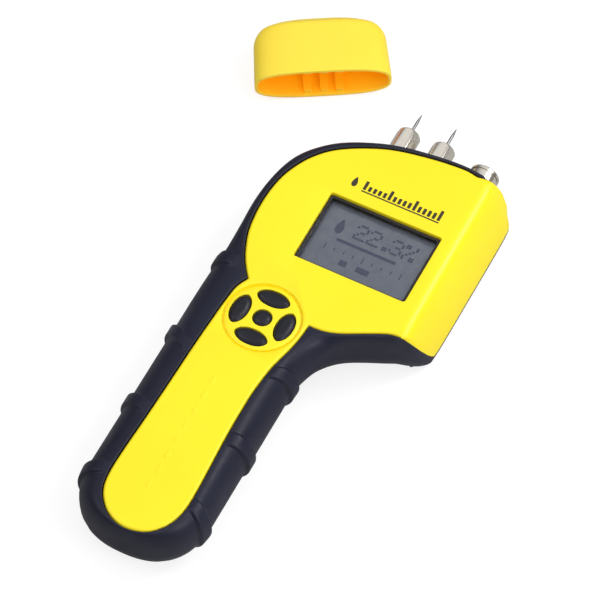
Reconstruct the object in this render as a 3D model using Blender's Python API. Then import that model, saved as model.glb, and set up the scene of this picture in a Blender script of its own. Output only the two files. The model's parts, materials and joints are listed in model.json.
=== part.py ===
"""Hand-held wood moisture meter, lying on its back, with its pin cap off beside it.

Frame: +Z is up, out of the display; +Y points along the contact pins; the
origin is on the back face, straight under the middle of the display.
"""
import math

import bmesh
import bpy
from mathutils import Matrix, Vector

MM = 0.001

# ---- driving dimensions (millimetres) ----
FACE_Z = 28.0            # thickness of the meter, back face to front face
SPLIT_Z = 24.9           # underside of the yellow front plate
SEAM_Z = 3.9             # lower edge of the yellow side wall
WALL = 2.4               # wall of both housings
GAP = 0.3                # clearance between neighbouring pieces

# handle
GRIP_X = -25.7           # middle of the grip
GRIP_HALF = 25.9         # half of the grip's width
STRIP_X = -23.9          # middle of the flat strip on top of the grip
STRIP_HALF = 15.3
STRIP_FLARE = 1.6        # how much wider each side of the strip is at its round end
NECK_Y = -58.0           # where the grip meets the head
END_Y = -126.0           # where the grip's round end begins
END_LENGTH = 26.3
STRIP_END_LENGTH = 25.0
END_POWER = 2.4          # superellipse power of the round end
SHOULDER_Z = 15.0        # the grip is widest below this height
GRIP_BELLY = 14.5        # radius of the grip's lower edge
HEAD_BELLY = 3.0
RIB_YS = (-27.9, -63.0, -98.0, -132.9)
RIB_HALF = 3.6
RIB_FLAT = 2.4
RIB_PROUD = 1.5

# display
WINDOW = (47.2, 32.6)    # opening in the front plate
CORNER = 2.0

# keypad
PAD = (-20.9, -46.8)
PAD_RADIUS = 14.5
KEY_LENGTH = 13.4
KEY_WIDTH = 7.0
KEY_OFFSET = 9.4
KEY_ROUND = 3.8
KEY_POINTS = 16
KEY_TOP = 28.9
KEY_FOOT = 22.0

# contact pins and socket
PIN_Z = 8.75
PIN_XS = (-14.4, 0.7)
PIN_WALL_YS = (49.3, 51.1)
NUT_TOP = 67.0
PIN_TIP = 76.8
NUT_RADIUS = 5.3
SOCKET_X = 20.2

# battery bay
BATTERY = (26.5, 48.5, 17.5)
BATTERY_Y = -86.2        # terminal end of the battery
DOOR_HALF = 14.0
DOOR_TOP = 2.2
DOOR_START = -80.0

# pin cap
CAP_HALF = 27.2
CAP_THICK = 17.5
CAP_DEPTH = 28.0
CAP_WALL = 1.5
CAP_POWER = 3.0          # superellipse power of its section
CAP_RIBS = (-6.0, 0.7, 6.8)
CAP_REST = (-55.6, 72.7)     # middle of the rim where the cap lies
CAP_TURN = math.radians(30.9)
CAP_SEAT = (2.7, 51.9)       # middle of the rim when it covers the pins
CAP_SLIDE = 23.0

CASE_SCREWS = ((-38.4, 10.6), (-27.0, 33.0), (27.0, 35.0), (9.0, -22.6), (-25.0, -72.5))
BOARD_SCREWS = ((-36.0, -12.0), (28.6, 12.0))
BOARD_Z = 16.0
BOARD_TOP = 17.6

# Head outline, anticlockwise from the neck. Each row holds a point of the
# widest outline, its partner on the edge of the flat face, the height where
# the shoulder between the two begins, and the shoulder's superellipse power.
HEAD_ROWS = (
    (0.7, -58.0, -5.6, -58.0, 16.0, 2.0),
    (2.9, -50.5, -3.4, -50.5, 18.0, 2.0),
    (6.4, -45.0, -0.2, -43.8, 21.0, 2.0),
    (11.0, -40.8, 9.2, -40.2, 23.5, 2.0),
    (17.6, -37.2, 16.8, -36.4, 24.5, 2.0),
    (26.6, -33.0, 25.4, -32.3, 23.0, 2.0),
    (33.2, -29.4, 29.8, -30.6, 16.0, 1.7),
    (36.9, -24.6, 30.5, -28.0, 8.0, 1.45),
    (38.2, -17.0, 30.3, -22.0, 4.2, 1.35),
    (38.4, 10.0, 29.7, 8.0, 4.2, 1.35),
    (38.3, 43.0, 29.3, 40.5, 4.2, 1.35),
    (36.9, 48.4, 28.8, 45.4, 6.0, 1.4),
    (32.6, 51.0, 26.6, 47.8, 16.0, 1.7),
    (17.2, 51.3, 16.8, 49.6, 24.0, 2.0),
    (1.1, 50.4, 1.5, 48.2, 24.0, 2.0),
    (-14.3, 47.6, -13.4, 45.0, 23.5, 2.0),
    (-27.9, 42.4, -26.4, 38.2, 23.0, 2.0),
    (-37.2, 35.8, -34.5, 31.6, 23.0, 2.0),
    (-44.3, 26.9, -40.4, 24.2, 23.0, 2.0),
    (-47.9, 15.4, -44.8, 13.4, 23.0, 2.0),
    (-49.3, 2.0, -46.2, 1.0, 23.0, 2.0),
    (-49.1, -12.0, -44.8, -12.0, 22.0, 2.0),
    (-49.6, -24.0, -41.4, -24.0, 19.5, 2.0),
    (-51.0, -36.0, -38.8, -36.0, 17.0, 2.0),
    (-51.5, -50.0, -38.8, -50.0, 15.6, 2.0),
)

# Edge of the yellow front: the strip, then the round keypad end, then the head.
STRIP_EDGE = ((-3.8, -41.8), (-4.2, -47.5), (-5.3, -54.5), (-7.6, -64.0), (-8.9, -76.0),
              (-9.1, -86.0), (-8.9, -98.0), (-8.3, -110.0), (-7.7, -122.0), (-7.6, -132.0),
              (-8.8, -138.8), (-11.6, -144.4), (-16.6, -148.8), (-24.0, -150.4),
              (-30.4, -148.7), (-35.6, -144.6), (-38.9, -139.0), (-40.1, -132.0),
              (-40.1, -122.0), (-39.4, -106.0), (-38.8, -88.0), (-38.3, -70.0),
              (-37.6, -54.0), (-37.0, -45.0), (-36.2, -38.5), (-33.9, -33.4))
LOBE_EDGE = ((-33.9, -33.4), (-38.5, -26.8), (-41.9, -19.6), (-44.2, -12.0), (-45.3, -2.0),
             (-44.9, 8.8), (-42.6, 18.4), (-37.4, 28.2), (-29.0, 36.2), (-14.0, 43.8),
             (1.5, 47.4), (16.8, 48.9), (26.2, 47.2))
RIGHT_EDGE = ((26.2, 47.2), (60.0, 60.0), (60.0, -31.1), (29.6, -31.1))
BOTTOM_EDGE = ((29.6, -31.1), (24.8, -31.4), (16.2, -35.5), (9.0, -39.2), (3.6, -41.2),
               (-0.4, -41.8), (-3.8, -41.8))

# Yellow side wall: how its surface leans out and how its corner edge slants.
SIDE_POWER = 1.35
SIDE_TOP_X = 29.9
SIDE_LEAN = 8.4
SIDE_FOOT_Y = -18.5
SIDE_SLANT = 12.6
SIDE_BEND = 0.75


# ---- helpers ----

def clear_scene():
    for obj in list(bpy.data.objects):
        bpy.data.objects.remove(obj, do_unlink=True)


def material(name, colour, roughness, metallic=0.0, alpha=1.0):
    mat = bpy.data.materials.new(name)
    mat.use_nodes = True
    shader = mat.node_tree.nodes["Principled BSDF"]
    shader.inputs["Base Color"].default_value = (*colour, 1.0)
    shader.inputs["Roughness"].default_value = roughness
    shader.inputs["Metallic"].default_value = metallic
    shader.inputs["Alpha"].default_value = alpha
    mat.diffuse_color = (*colour, alpha)
    return mat


def mesh_object(name, points, faces, mat=None):
    """A closed mesh from millimetre points, with its faces turned outwards."""
    mesh = bpy.data.meshes.new(name)
    mesh.from_pydata([Vector(p) * MM for p in points], [], faces)
    work = bmesh.new()
    work.from_mesh(mesh)
    bmesh.ops.triangulate(work, faces=work.faces)
    bmesh.ops.recalc_face_normals(work, faces=work.faces)
    work.to_mesh(mesh)
    work.free()
    obj = bpy.data.objects.new(name, mesh)
    bpy.context.scene.collection.objects.link(obj)
    if mat is not None:
        mesh.materials.append(mat)
    return obj


def loft(name, rings, mat=None, closed=False):
    """Skin a list of rings. An open stack gets end caps; a closed one is a torus."""
    count = len(rings[0])
    points = [p for ring in rings for p in ring]
    faces = []
    steps = len(rings) if closed else len(rings) - 1
    for i in range(steps):
        low = i * count
        high = ((i + 1) % len(rings)) * count
        for j in range(count):
            k = (j + 1) % count
            faces.append((low + j, low + k, high + k, high + j))
    if not closed:
        faces.append(tuple(range(count)))
        faces.append(tuple(range(len(points) - count, len(points))))
    return mesh_object(name, points, faces, mat)


def prism(name, outline, low, high, mat=None):
    return loft(name, [[(x, y, z) for x, y in outline] for z in (low, high)], mat)


def arc(cx, cy, radius, start, end, steps):
    """Points on an arc, angles in degrees, both ends included."""
    points = []
    for i in range(steps + 1):
        angle = math.radians(start + (end - start) * i / steps)
        points.append((cx + radius * math.cos(angle), cy + radius * math.sin(angle)))
    return points


def circle(cx, cy, radius, steps=16):
    return arc(cx, cy, radius, 0.0, 360.0, steps)[:-1]


def rounded_rectangle(cx, cy, width, height, radius, steps=4):
    dx = width / 2 - radius
    dy = height / 2 - radius
    points = []
    for sx, sy, start in ((1, 1, 0), (-1, 1, 90), (-1, -1, 180), (1, -1, 270)):
        points += arc(cx + sx * dx, cy + sy * dy, radius, start, start + 90, steps)
    return points


def box(name, centre, size, mat=None, radius=0.8):
    """An upright plate with rounded corners, from its centre and its size."""
    outline = rounded_rectangle(centre[0], centre[1], size[0], size[1], radius, 3)
    return prism(name, outline, centre[2] - size[2] / 2, centre[2] + size[2] / 2, mat)


def frame_ring(name, outer, inner, low, high, mat):
    """A flat frame between two outlines that have the same number of points."""
    rings = [[(x, y, low) for x, y in outer], [(x, y, high) for x, y in outer],
             [(x, y, high) for x, y in inner], [(x, y, low) for x, y in inner]]
    return loft(name, rings, mat, closed=True)


def turned(name, profile, centre, axis, mat=None, steps=16, hollow=False):
    """Turn a (radius, height) profile about an axis through centre, 'Y' or 'Z'."""
    rings = []
    for radius, height in profile:
        ring = []
        for i in range(steps):
            angle = 2 * math.pi * (i + 0.5) / steps
            u = radius * math.cos(angle)
            v = radius * math.sin(angle)
            if axis == "Y":
                ring.append((centre[0] + u, height, centre[2] + v))
            else:
                ring.append((centre[0] + u, centre[1] + v, height))
        rings.append(ring)
    return loft(name, rings, mat, closed=hollow)


def tube(name, path, radius, mat, sides=6):
    """A round wire along a smooth path."""
    points = [Vector(p) for p in smooth(path, 3)]
    rings = []
    side = Vector((1.0, 0.0, 0.0))
    for i, point in enumerate(points):
        along = (points[min(i + 1, len(points) - 1)] - points[max(i - 1, 0)]).normalized()
        side = (side - along * side.dot(along)).normalized()
        other = along.cross(side)
        ring = []
        for k in range(sides):
            angle = 2 * math.pi * k / sides
            ring.append(point + (side * math.cos(angle) + other * math.sin(angle)) * radius)
        rings.append(ring)
    return loft(name, rings, mat)


def smooth(rows, steps):
    """Catmull-Rom curve through rows of any width, both ends included."""
    result = []
    last = len(rows) - 1
    for i in range(last):
        four = [rows[max(i - 1, 0)], rows[i], rows[i + 1], rows[min(i + 2, last)]]
        for k in range(steps):
            t = k / steps
            weights = (-t + 2 * t ** 2 - t ** 3, 2 - 5 * t ** 2 + 3 * t ** 3,
                       t + 4 * t ** 2 - 3 * t ** 3, t ** 3 - t ** 2)
            result.append(tuple(0.5 * sum(w * row[c] for w, row in zip(weights, four))
                                for c in range(len(rows[0]))))
    result.append(tuple(rows[-1]))
    return result


def combine(obj, other, operation):
    """Boolean another solid into obj and remove that solid."""
    modifier = obj.modifiers.new(operation.lower(), "BOOLEAN")
    modifier.operation = operation
    modifier.object = other
    modifier.solver = "EXACT"
    depsgraph = bpy.context.evaluated_depsgraph_get()
    result = bpy.data.meshes.new_from_object(obj.evaluated_get(depsgraph))
    obj.modifiers.clear()
    obj.data = result
    bpy.data.objects.remove(other, do_unlink=True)


def cut(obj, *others):
    for other in others:
        combine(obj, other, "DIFFERENCE")


def join(obj, *others):
    for other in others:
        combine(obj, other, "UNION")


def shade(obj, angle=35.0):
    obj.data.shade_smooth()
    obj.data.set_sharp_from_angle(angle=math.radians(angle))


def set_origin(obj, point):
    """Put the object's origin on a point given in millimetres."""
    place = Vector(point) * MM
    obj.data.transform(Matrix.Translation(-place))
    obj.location = place


# ---- the outside shape ----

def rib_height(x, y):
    """How far a grip rib stands proud. The rib nearest the head is on the left only."""
    best = 0.0
    for middle in RIB_YS:
        if middle == RIB_YS[0] and x > GRIP_X:
            continue
        away = abs(y - middle)
        best = max(best, min(1.0, max(0.0, (RIB_HALF - away) / (RIB_HALF - RIB_FLAT))))
    return RIB_PROUD * best


def strip_half(y):
    """Half width of the flat strip, which widens towards its round end."""
    share = min(1.0, max(0.0, (NECK_Y - y) / (NECK_Y - END_Y)))
    return STRIP_HALF + STRIP_FLARE * share


def end_row(side, reach):
    """One row of the grip's round end. reach runs from 0 at its start to 1 at its tip."""
    across = (1.0 - reach ** END_POWER) ** (1.0 / END_POWER)
    return (GRIP_X + side * GRIP_HALF * across, END_Y - END_LENGTH * reach,
            STRIP_X + side * strip_half(END_Y) * across, END_Y - STRIP_END_LENGTH * reach,
            SHOULDER_Z + 3.0 * reach, 2.0)


def grip_rows(side):
    """Rows of one side of the grip, from its tip up to the neck."""
    reaches = [0.985, 0.93, 0.8]
    ys = []
    for middle in RIB_YS[1:]:
        ys += [middle - RIB_HALF, middle - RIB_FLAT, middle + RIB_FLAT, middle + RIB_HALF]
    ys += [END_Y, -115.0, -91.0, -80.0]
    rows = [end_row(side, reach) for reach in reaches]
    for y in sorted(ys):
        if y < END_Y:
            rows.append(end_row(side, (END_Y - y) / END_LENGTH))
        else:
            rows.append((GRIP_X + side * GRIP_HALF, y, STRIP_X + side * strip_half(y), y,
                         SHOULDER_Z, 2.0))
    return rows


def outline_rows():
    """All rows round the meter, anticlockwise from the tip of the grip."""
    right = grip_rows(1)
    left = list(reversed(grip_rows(-1)))
    return [end_row(1, 1.0)] + right + smooth(HEAD_ROWS, 2) + left


def outward(rows, i):
    """Unit vector in plan that points out of the widest outline at row i."""
    here = Vector(rows[i][:2])
    back = here - Vector(rows[i - 1][:2])
    ahead = Vector(rows[(i + 1) % len(rows)][:2]) - here
    along = back.normalized() * ahead.length + ahead.normalized() * back.length
    return Vector((along.y, -along.x)).normalized()


def belly(x, y):
    """Radius of the lower edge: large round the grip, small round the rest of the head."""
    start, length = (-32.0, 11.0) if x > 28.0 else (-20.0, 35.0)
    blend = min(1.0, max(0.0, (y - start) / length))
    return GRIP_BELLY + (HEAD_BELLY - GRIP_BELLY) * blend


def body_solid(name, wall=0.0):
    """The meter's outside shape, or its inside when wall is given."""
    rows = outline_rows()
    low = wall
    high = FACE_Z - wall
    lower = []
    for step in range(4):
        angle = math.radians(30.0 * step)
        ring = []
        for i, (bx, by, _, _, _, _) in enumerate(rows):
            out = outward(rows, i)
            radius = max(belly(bx, by) - wall, 0.8)
            inset = wall + radius * (1.0 - math.sin(angle))
            if not wall and step:
                inset -= rib_height(bx, by) * math.sin(angle)
            ring.append((bx - out.x * inset, by - out.y * inset,
                         low + radius * (1.0 - math.cos(angle))))
        lower.append(ring)
    upper = []
    for step in range(5):
        angle = math.radians(22.5 * step)
        ring = []
        for i, (bx, by, fx, fy, rise, power) in enumerate(rows):
            out = outward(rows, i)
            near = max(math.cos(angle), 0.0) ** (2.0 / power)
            up = math.sin(angle) ** (2.0 / power)
            proud = 0.0 if wall or step == 4 else rib_height(bx, by)
            x = fx + (bx - fx) * near + out.x * (proud * math.cos(angle) - wall)
            y = fy + (by - fy) * near + out.y * (proud * math.cos(angle) - wall)
            ring.append((x, y, rise + (high - rise) * up + proud * math.sin(angle)))
        upper.append(ring)
    return loft(name, lower + upper)


def front_edge():
    """Outline of the yellow front in plan, anticlockwise, sharp at its notches."""
    outline = []
    for piece, steps in ((STRIP_EDGE, 2), (LOBE_EDGE, 2), (RIGHT_EDGE, 1), (BOTTOM_EDGE, 2)):
        outline += smooth(piece, steps)[:-1]
    return outline


def grow(outline, distance):
    """Offset a clockwise outline outwards."""
    count = len(outline)
    result = []
    for i, point in enumerate(outline):
        before = Vector(outline[i - 1])
        after = Vector(outline[(i + 1) % count])
        here = Vector(point)
        first = (here - before).normalized()
        second = (after - here).normalized()
        normal = Vector((-first.y, first.x)) + Vector((-second.y, second.x))
        normal.normalize()
        reach = distance / max(0.5, normal.dot(Vector((-first.y, first.x))))
        result.append((point[0] + normal.x * reach, point[1] + normal.y * reach))
    return result


def side_wall_wedge(name, clearance):
    """The space of the yellow side wall, which runs from the face down to the seam."""
    bottom = SEAM_Z - clearance
    rings = []
    for step in range(6):
        angle = math.radians(18.0 * step)
        near = max(math.cos(angle), 0.0) ** (2.0 / SIDE_POWER)
        up = math.sin(angle) ** (2.0 / SIDE_POWER)
        x = SIDE_TOP_X + SIDE_LEAN * near - 2.0 * WALL
        z = bottom + (FACE_Z - bottom) * up
        y = SIDE_FOOT_Y - SIDE_SLANT * up ** SIDE_BEND - clearance
        rings.append([(x, y, z), (60.0, y, z), (60.0, 60.0, z), (x, 60.0, z)])
    top = [(p[0], p[1], FACE_Z + 4.0) for p in rings[-1]]
    return loft(name, rings + [top])


def front_space(name, clearance):
    """Everything that belongs to the front housing, grown by a clearance."""
    outline = grow(front_edge(), clearance) if clearance else front_edge()
    space = prism(name, outline, SPLIT_Z - clearance, FACE_Z + 4.0)
    join(space, side_wall_wedge("wedge", clearance))
    return space


# ---- housings ----

def key_outline(centre, upright, grow_by=0.0):
    """A leaf shape with rounded tips."""
    length = KEY_LENGTH + 2 * grow_by
    width = KEY_WIDTH + 2 * grow_by
    points = []
    for i in range(KEY_POINTS):
        angle = 2 * math.pi * i / KEY_POINTS
        u = length / 2 * math.copysign(abs(math.cos(angle)) ** 0.92, math.cos(angle))
        v = width / 2 * math.copysign(abs(math.sin(angle)) ** 1.18, math.sin(angle))
        points.append((centre[0] + v, centre[1] - u) if upright else (centre[0] + u, centre[1] + v))
    return points


def key_places():
    x, y = PAD
    return (("key_up", (x, y + KEY_OFFSET), False), ("key_down", (x, y - KEY_OFFSET), False),
            ("key_left", (x - KEY_OFFSET, y), True), ("key_right", (x + KEY_OFFSET, y), True))


def front_housing(mat):
    obj = body_solid("front_housing")
    combine(obj, front_space("space", 0.0), "INTERSECT")
    cut(obj, body_solid("inside", WALL))
    opening = rounded_rectangle(0.0, 0.0, WINDOW[0], WINDOW[1], CORNER)
    cut(obj, prism("opening", opening, SPLIT_Z - 2.0, FACE_Z + 2.0))
    for name, centre, upright in key_places():
        cut(obj, prism(name + "_hole", key_outline(centre, upright, 0.35), 20.0, 32.0))
    cut(obj, prism("enter_hole", circle(PAD[0], PAD[1], KEY_ROUND + 0.35), 20.0, 32.0))
    cut(obj, frame_ring("groove", circle(*PAD, PAD_RADIUS + 0.9, 32), circle(*PAD, PAD_RADIUS, 32),
                        FACE_Z - 0.8, FACE_Z + 1.0, None))
    for x, y in CASE_SCREWS:
        join(obj, prism("boss", circle(x, y, 3.2, 12), 14.6, SPLIT_Z + 0.9))
        cut(obj, prism("bore", circle(x, y, 1.7, 12), 13.0, 23.0))
    for x, y in BOARD_SCREWS:
        join(obj, prism("boss", circle(x, y, 2.8, 12), BOARD_TOP + GAP, SPLIT_Z + 0.9))
        cut(obj, prism("bore", circle(x, y, 1.3, 12), BOARD_TOP - 1.0, 23.0))
    obj.data.materials.clear()
    obj.data.materials.append(mat)
    shade(obj)


def rear_housing(mat):
    obj = body_solid("rear_housing")
    cut(obj, front_space("space", GAP), body_solid("inside", WALL))
    for x, y in CASE_SCREWS:
        join(obj, prism("boss", circle(x, y, 3.9), 1.8, 14.2))
        cut(obj, prism("counterbore", circle(x, y, 3.1), -1.0, 3.2),
            prism("bore", circle(x, y, 1.8, 12), 2.0, 16.0))
    x, y = neck_point()
    join(obj, prism("boss", circle(x, y, 4.4), 1.8, 15.0))
    cut(obj, prism("counterbore", circle(x, y, 3.7), -1.0, 3.2),
        prism("bore", circle(x, y, 1.9, 12), 2.0, 16.0))
    slot = rounded_rectangle(GRIP_X, (DOOR_START - 170.0) / 2, 2 * DOOR_HALF + 2 * GAP,
                             DOOR_START + 170.0 + 2 * GAP, 1.2)
    cut(obj, prism("door_slot", slot, -2.0, DOOR_TOP + GAP))
    for x in PIN_XS:
        cut(obj, turned("pin_hole", ((3.6, 38.0), (3.6, 56.0)), (x, 0.0, PIN_Z), "Y"))
    cut(obj, turned("socket_hole", ((5.4, 38.0), (5.4, 56.0)), (SOCKET_X, 0.0, PIN_Z), "Y"))
    obj.data.materials.clear()
    obj.data.materials.append(mat)
    shade(obj)


def battery_door(mat):
    obj = body_solid("battery_door")
    middle = (DOOR_START - 170.0) / 2
    outline = rounded_rectangle(GRIP_X, middle, 2 * DOOR_HALF, DOOR_START + 170.0, 1.0)
    combine(obj, prism("door_space", outline, -2.0, DOOR_TOP), "INTERSECT")
    for step in range(4):
        y = -92.0 - 3.0 * step
        cut(obj, prism("finger_groove", rounded_rectangle(GRIP_X, y, 14.0, 1.2, 0.5, 2), -1.0, 0.6))
    obj.data.materials.clear()
    obj.data.materials.append(mat)
    shade(obj)
    set_origin(obj, (GRIP_X, DOOR_START, 0.0))


# ---- display and electronics ----

def display(mats):
    outer = rounded_rectangle(0.0, 0.0, WINDOW[0] - 0.6, WINDOW[1] - 0.6, CORNER - GAP)
    inner = rounded_rectangle(0.0, 0.0, 43.4, 28.8, 0.8)
    frame_ring("display_bezel", outer, inner, 25.6, 26.9, mats["black_plastic"])
    box("display_window", (0.0, 0.0, 24.7), (50.4, 36.0, 1.2), mats["window"])
    box("lcd_panel", (0.0, 0.0, 23.0), (46.0, 31.4, 1.6), mats["lcd"], 0.5)
    box("lcd_backlight", (0.0, 0.0, 20.3), (46.0, 31.4, 3.0), mats["white_plastic"], 0.5)
    outer = rounded_rectangle(0.0, 0.0, 50.0, 35.6, 1.0)
    inner = rounded_rectangle(0.0, 0.0, 46.8, 32.2, 0.6)
    frame_ring("lcd_frame", outer, inner, 18.0, 23.8, mats["black_plastic"])


def main_board(mat):
    outline = ((-38.0, -22.0), (-36.0, -60.0), (-8.0, -60.0), (-4.0, -36.0), (16.0, -26.0),
               (31.4, -12.0), (31.4, 30.0), (-32.0, 30.0), (-40.0, 4.0))
    obj = prism("main_board", outline, BOARD_Z, BOARD_TOP, mat)
    for x, y in CASE_SCREWS:
        cut(obj, prism("clear", circle(x, y, 4.3, 12), BOARD_Z - 2.0, BOARD_TOP + 2.0))
    for x, y in BOARD_SCREWS:
        cut(obj, prism("hole", circle(x, y, 1.6, 12), BOARD_Z - 2.0, BOARD_TOP + 2.0))


def board_parts(mats):
    top = BOARD_Z - GAP
    box("controller_chip", (-8.0, 4.0, top - 0.9), (12.0, 12.0, 1.8), mats["black_plastic"], 0.4)
    turned("buzzer", ((6.0, top - 5.5), (6.0, top)), (16.0, -8.0, 0.0), "Z", mats["black_plastic"])
    for tag, (x, y) in zip(("left", "right"), BOARD_SCREWS):
        profile = ((1.2, top - 1.9), (2.6, top - 1.5), (2.6, top), (1.0, top), (1.0, 22.4))
        turned("board_screw_" + tag, profile, (x, y, 0.0), "Z", mats["steel"], 16)


# ---- keypad ----

def key_solid(name, outlines, flange, mat):
    """A key with a wide foot below the front plate and a softened top edge."""
    body, rim = outlines
    rings = [[(x, y, KEY_FOOT) for x, y in flange], [(x, y, KEY_FOOT + 1.2) for x, y in flange],
             [(x, y, KEY_FOOT + 1.2) for x, y in body], [(x, y, KEY_TOP - 0.7) for x, y in body],
             [(x, y, KEY_TOP) for x, y in rim]]
    return loft(name, rings, mat)


def keypad(mats):
    for name, centre, upright in key_places():
        outlines = (key_outline(centre, upright), key_outline(centre, upright, -0.6))
        obj = key_solid(name, outlines, key_outline(centre, upright, 0.7), mats["key"])
        shade(obj)
        set_origin(obj, (*centre, KEY_TOP))
    outlines = (circle(*PAD, KEY_ROUND), circle(*PAD, KEY_ROUND - 0.6))
    obj = key_solid("key_enter", outlines, circle(*PAD, KEY_ROUND + 0.7), mats["key"])
    shade(obj)
    set_origin(obj, (*PAD, KEY_TOP))
    prism("keypad_mat", circle(*PAD, 13.6, 24), BOARD_TOP + GAP, 20.6, mats["rubber"])


# ---- pins, nuts and socket ----

def nut_ring(x, radius, y):
    """Twelve-sided nut section: six flats with narrow chamfered corners."""
    ring = []
    for i in range(6):
        for turn in (-22.0, 22.0):
            angle = math.radians(60.0 * i + 30.0 + turn)
            ring.append((x + radius * math.cos(angle), y, PIN_Z + radius * math.sin(angle)))
    return ring


def pin_nut(name, x, start, mat):
    """A hollow clamping nut: six-sided outside, stepped bore inside."""
    rings = [nut_ring(x, NUT_RADIUS - 0.5, start), nut_ring(x, NUT_RADIUS, start + 0.6),
             nut_ring(x, NUT_RADIUS, NUT_TOP - 1.6), nut_ring(x, NUT_RADIUS - 1.5, NUT_TOP),
             nut_ring(x, 1.4, NUT_TOP), nut_ring(x, 1.4, NUT_TOP - 7.5),
             nut_ring(x, 3.6, NUT_TOP - 7.5), nut_ring(x, 3.6, start)]
    loft(name, rings, mat, closed=True)


def contact_pins(mats):
    for tag, x, start in zip(("left", "right"), PIN_XS, PIN_WALL_YS):
        top = NUT_TOP - 7.5 - GAP
        stud = ((3.2, 32.0), (3.2, top), (1.5, top), (1.5, top - 8.0))
        obj = turned("pin_holder_" + tag, stud, (x, 0.0, PIN_Z), "Y", mats["brass"], 14)
        shade(obj)
        pin_nut("pin_nut_" + tag, x, start, mats["chrome"])
        needle = ((1.0, top - 7.6), (1.0, PIN_TIP - 4.5), (0.7, PIN_TIP - 1.6), (0.15, PIN_TIP))
        obj = turned("contact_pin_" + tag, needle, (x, 0.0, PIN_Z), "Y", mats["steel"], 12)
        shade(obj)
    middle = sum(PIN_XS) / 2
    outline = rounded_rectangle(middle, 38.5, 27.0, 9.0, 1.0)
    obj = prism("pin_block", outline, WALL + GAP, 14.4, mats["white_plastic"])
    for x in PIN_XS:
        cut(obj, turned("hole", ((3.5, 30.0), (3.5, 48.0)), (x, 0.0, PIN_Z), "Y"))


def socket(mats):
    centre = (SOCKET_X, 0.0, PIN_Z)
    shell = ((5.0, 42.5), (5.0, 51.9), (6.2, 51.9), (6.2, 62.2), (5.8, 62.8), (4.6, 62.8),
             (4.6, 45.5), (2.6, 45.5), (2.6, 42.5))
    shade(turned("socket_shell", shell, centre, "Y", mats["chrome"], 20, hollow=True))
    insulator = ((4.2, 45.9), (4.2, 57.0), (1.3, 57.0), (1.3, 45.9))
    shade(turned("socket_insulator", insulator, centre, "Y", mats["white_plastic"], 16, True))
    shade(turned("socket_contact", ((0.9, 40.0), (0.9, 60.4), (0.4, 61.0)), centre, "Y",
                 mats["brass"], 12))
    outline = circle(SOCKET_X, PIN_Z, 7.2, 6)
    rings = [[(x, y, z) for x, z in outline] for y in (44.4, 47.6)]
    obj = loft("socket_nut", rings)
    cut(obj, turned("hole", ((5.3, 40.0), (5.3, 50.0)), centre, "Y"))
    obj.data.materials.clear()
    obj.data.materials.append(mats["steel"])


# ---- battery bay and wiring ----

def battery(mats):
    width, length, height = BATTERY
    low = DOOR_TOP + GAP + 0.6
    middle = low + height / 2
    obj = box("battery_9v", (GRIP_X, BATTERY_Y - length / 2, middle), (width, length, height),
              mats["battery"], 3.2)
    for dx, radius in ((-6.35, 2.9), (6.35, 3.8)):
        terminal = ((radius, BATTERY_Y - 1.0), (radius, BATTERY_Y + 2.6))
        join(obj, turned("terminal", terminal, (GRIP_X + dx, 0.0, middle), "Y", None, 12))
    snap = rounded_rectangle(GRIP_X, BATTERY_Y + 4.8, 25.0, 3.6, 0.8)
    prism("battery_snap", snap, middle - 5.5, middle + 5.5, mats["black_plastic"])
    box("battery_foam", (GRIP_X, BATTERY_Y - length / 2, 22.8), (22.0, 34.0, 3.4), mats["foam"], 1.0)
    for name, side in (("lead_red", 1), ("lead_black", -1)):
        start = GRIP_X + side * 4.0
        bend = GRIP_X + side * 9.0
        path = ((start, BATTERY_Y + 7.0, middle), (start, BATTERY_Y + 10.0, middle),
                (bend, BATTERY_Y + 18.0, 8.0), (bend, -62.0, 8.0),
                (bend, -56.0, 12.0), (bend, -55.0, BOARD_Z - GAP))
        tube(name, path, 0.8, mats[name])
    for tag, x in zip(("left", "right"), PIN_XS):
        path = ((x, 31.6, PIN_Z), (x, 29.0, PIN_Z), (x + 1.0, 27.0, 11.0),
                (x + 1.0, 26.5, BOARD_Z - GAP))
        tube("pin_lead_" + tag, path, 0.7, mats["lead_grey"])
    path = ((SOCKET_X, 39.6, PIN_Z), (SOCKET_X, 34.0, PIN_Z), (SOCKET_X, 28.0, 11.0),
            (SOCKET_X, 26.5, BOARD_Z - GAP))
    tube("socket_lead", path, 0.7, mats["lead_grey"])


# ---- fasteners ----

def screw(name, x, y, head, shank, length, mat):
    """A pan head countersunk into the back, with a cross recess."""
    profile = ((head - 0.5, 0.5), (head, 0.9), (head, 2.7), (shank, 2.7), (shank, length))
    obj = turned(name, profile, (x, y, 0.0), "Z", mat, 12)
    for size in ((3.2, 0.8), (0.8, 3.2)):
        cut(obj, box("recess", (x, y, 0.7), (*size, 1.8), None, 0.0))
    obj.data.materials.clear()
    obj.data.materials.append(mat)
    shade(obj)
    set_origin(obj, (x, y, 0.0))


def fasteners(mats):
    for number, (x, y) in enumerate(CASE_SCREWS, 1):
        screw("case_screw_%d" % number, x, y, 2.8, 1.4, 22.4, mats["steel"])
    x, y = neck_point()
    screw("neck_screw", x, y, 3.3, 1.5, 14.4, mats["steel"])


# ---- pin cap ----

def neck_point():
    """Pole about which a turn by CAP_TURN carries the slid-up cap onto its seat."""
    turn = Matrix.Rotation(CAP_TURN, 2)
    slid = Vector(CAP_REST) - turn @ Vector((0.0, CAP_SLIDE))
    return (Matrix.Identity(2) - turn).inverted() @ (slid - turn @ Vector(CAP_SEAT))


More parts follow.
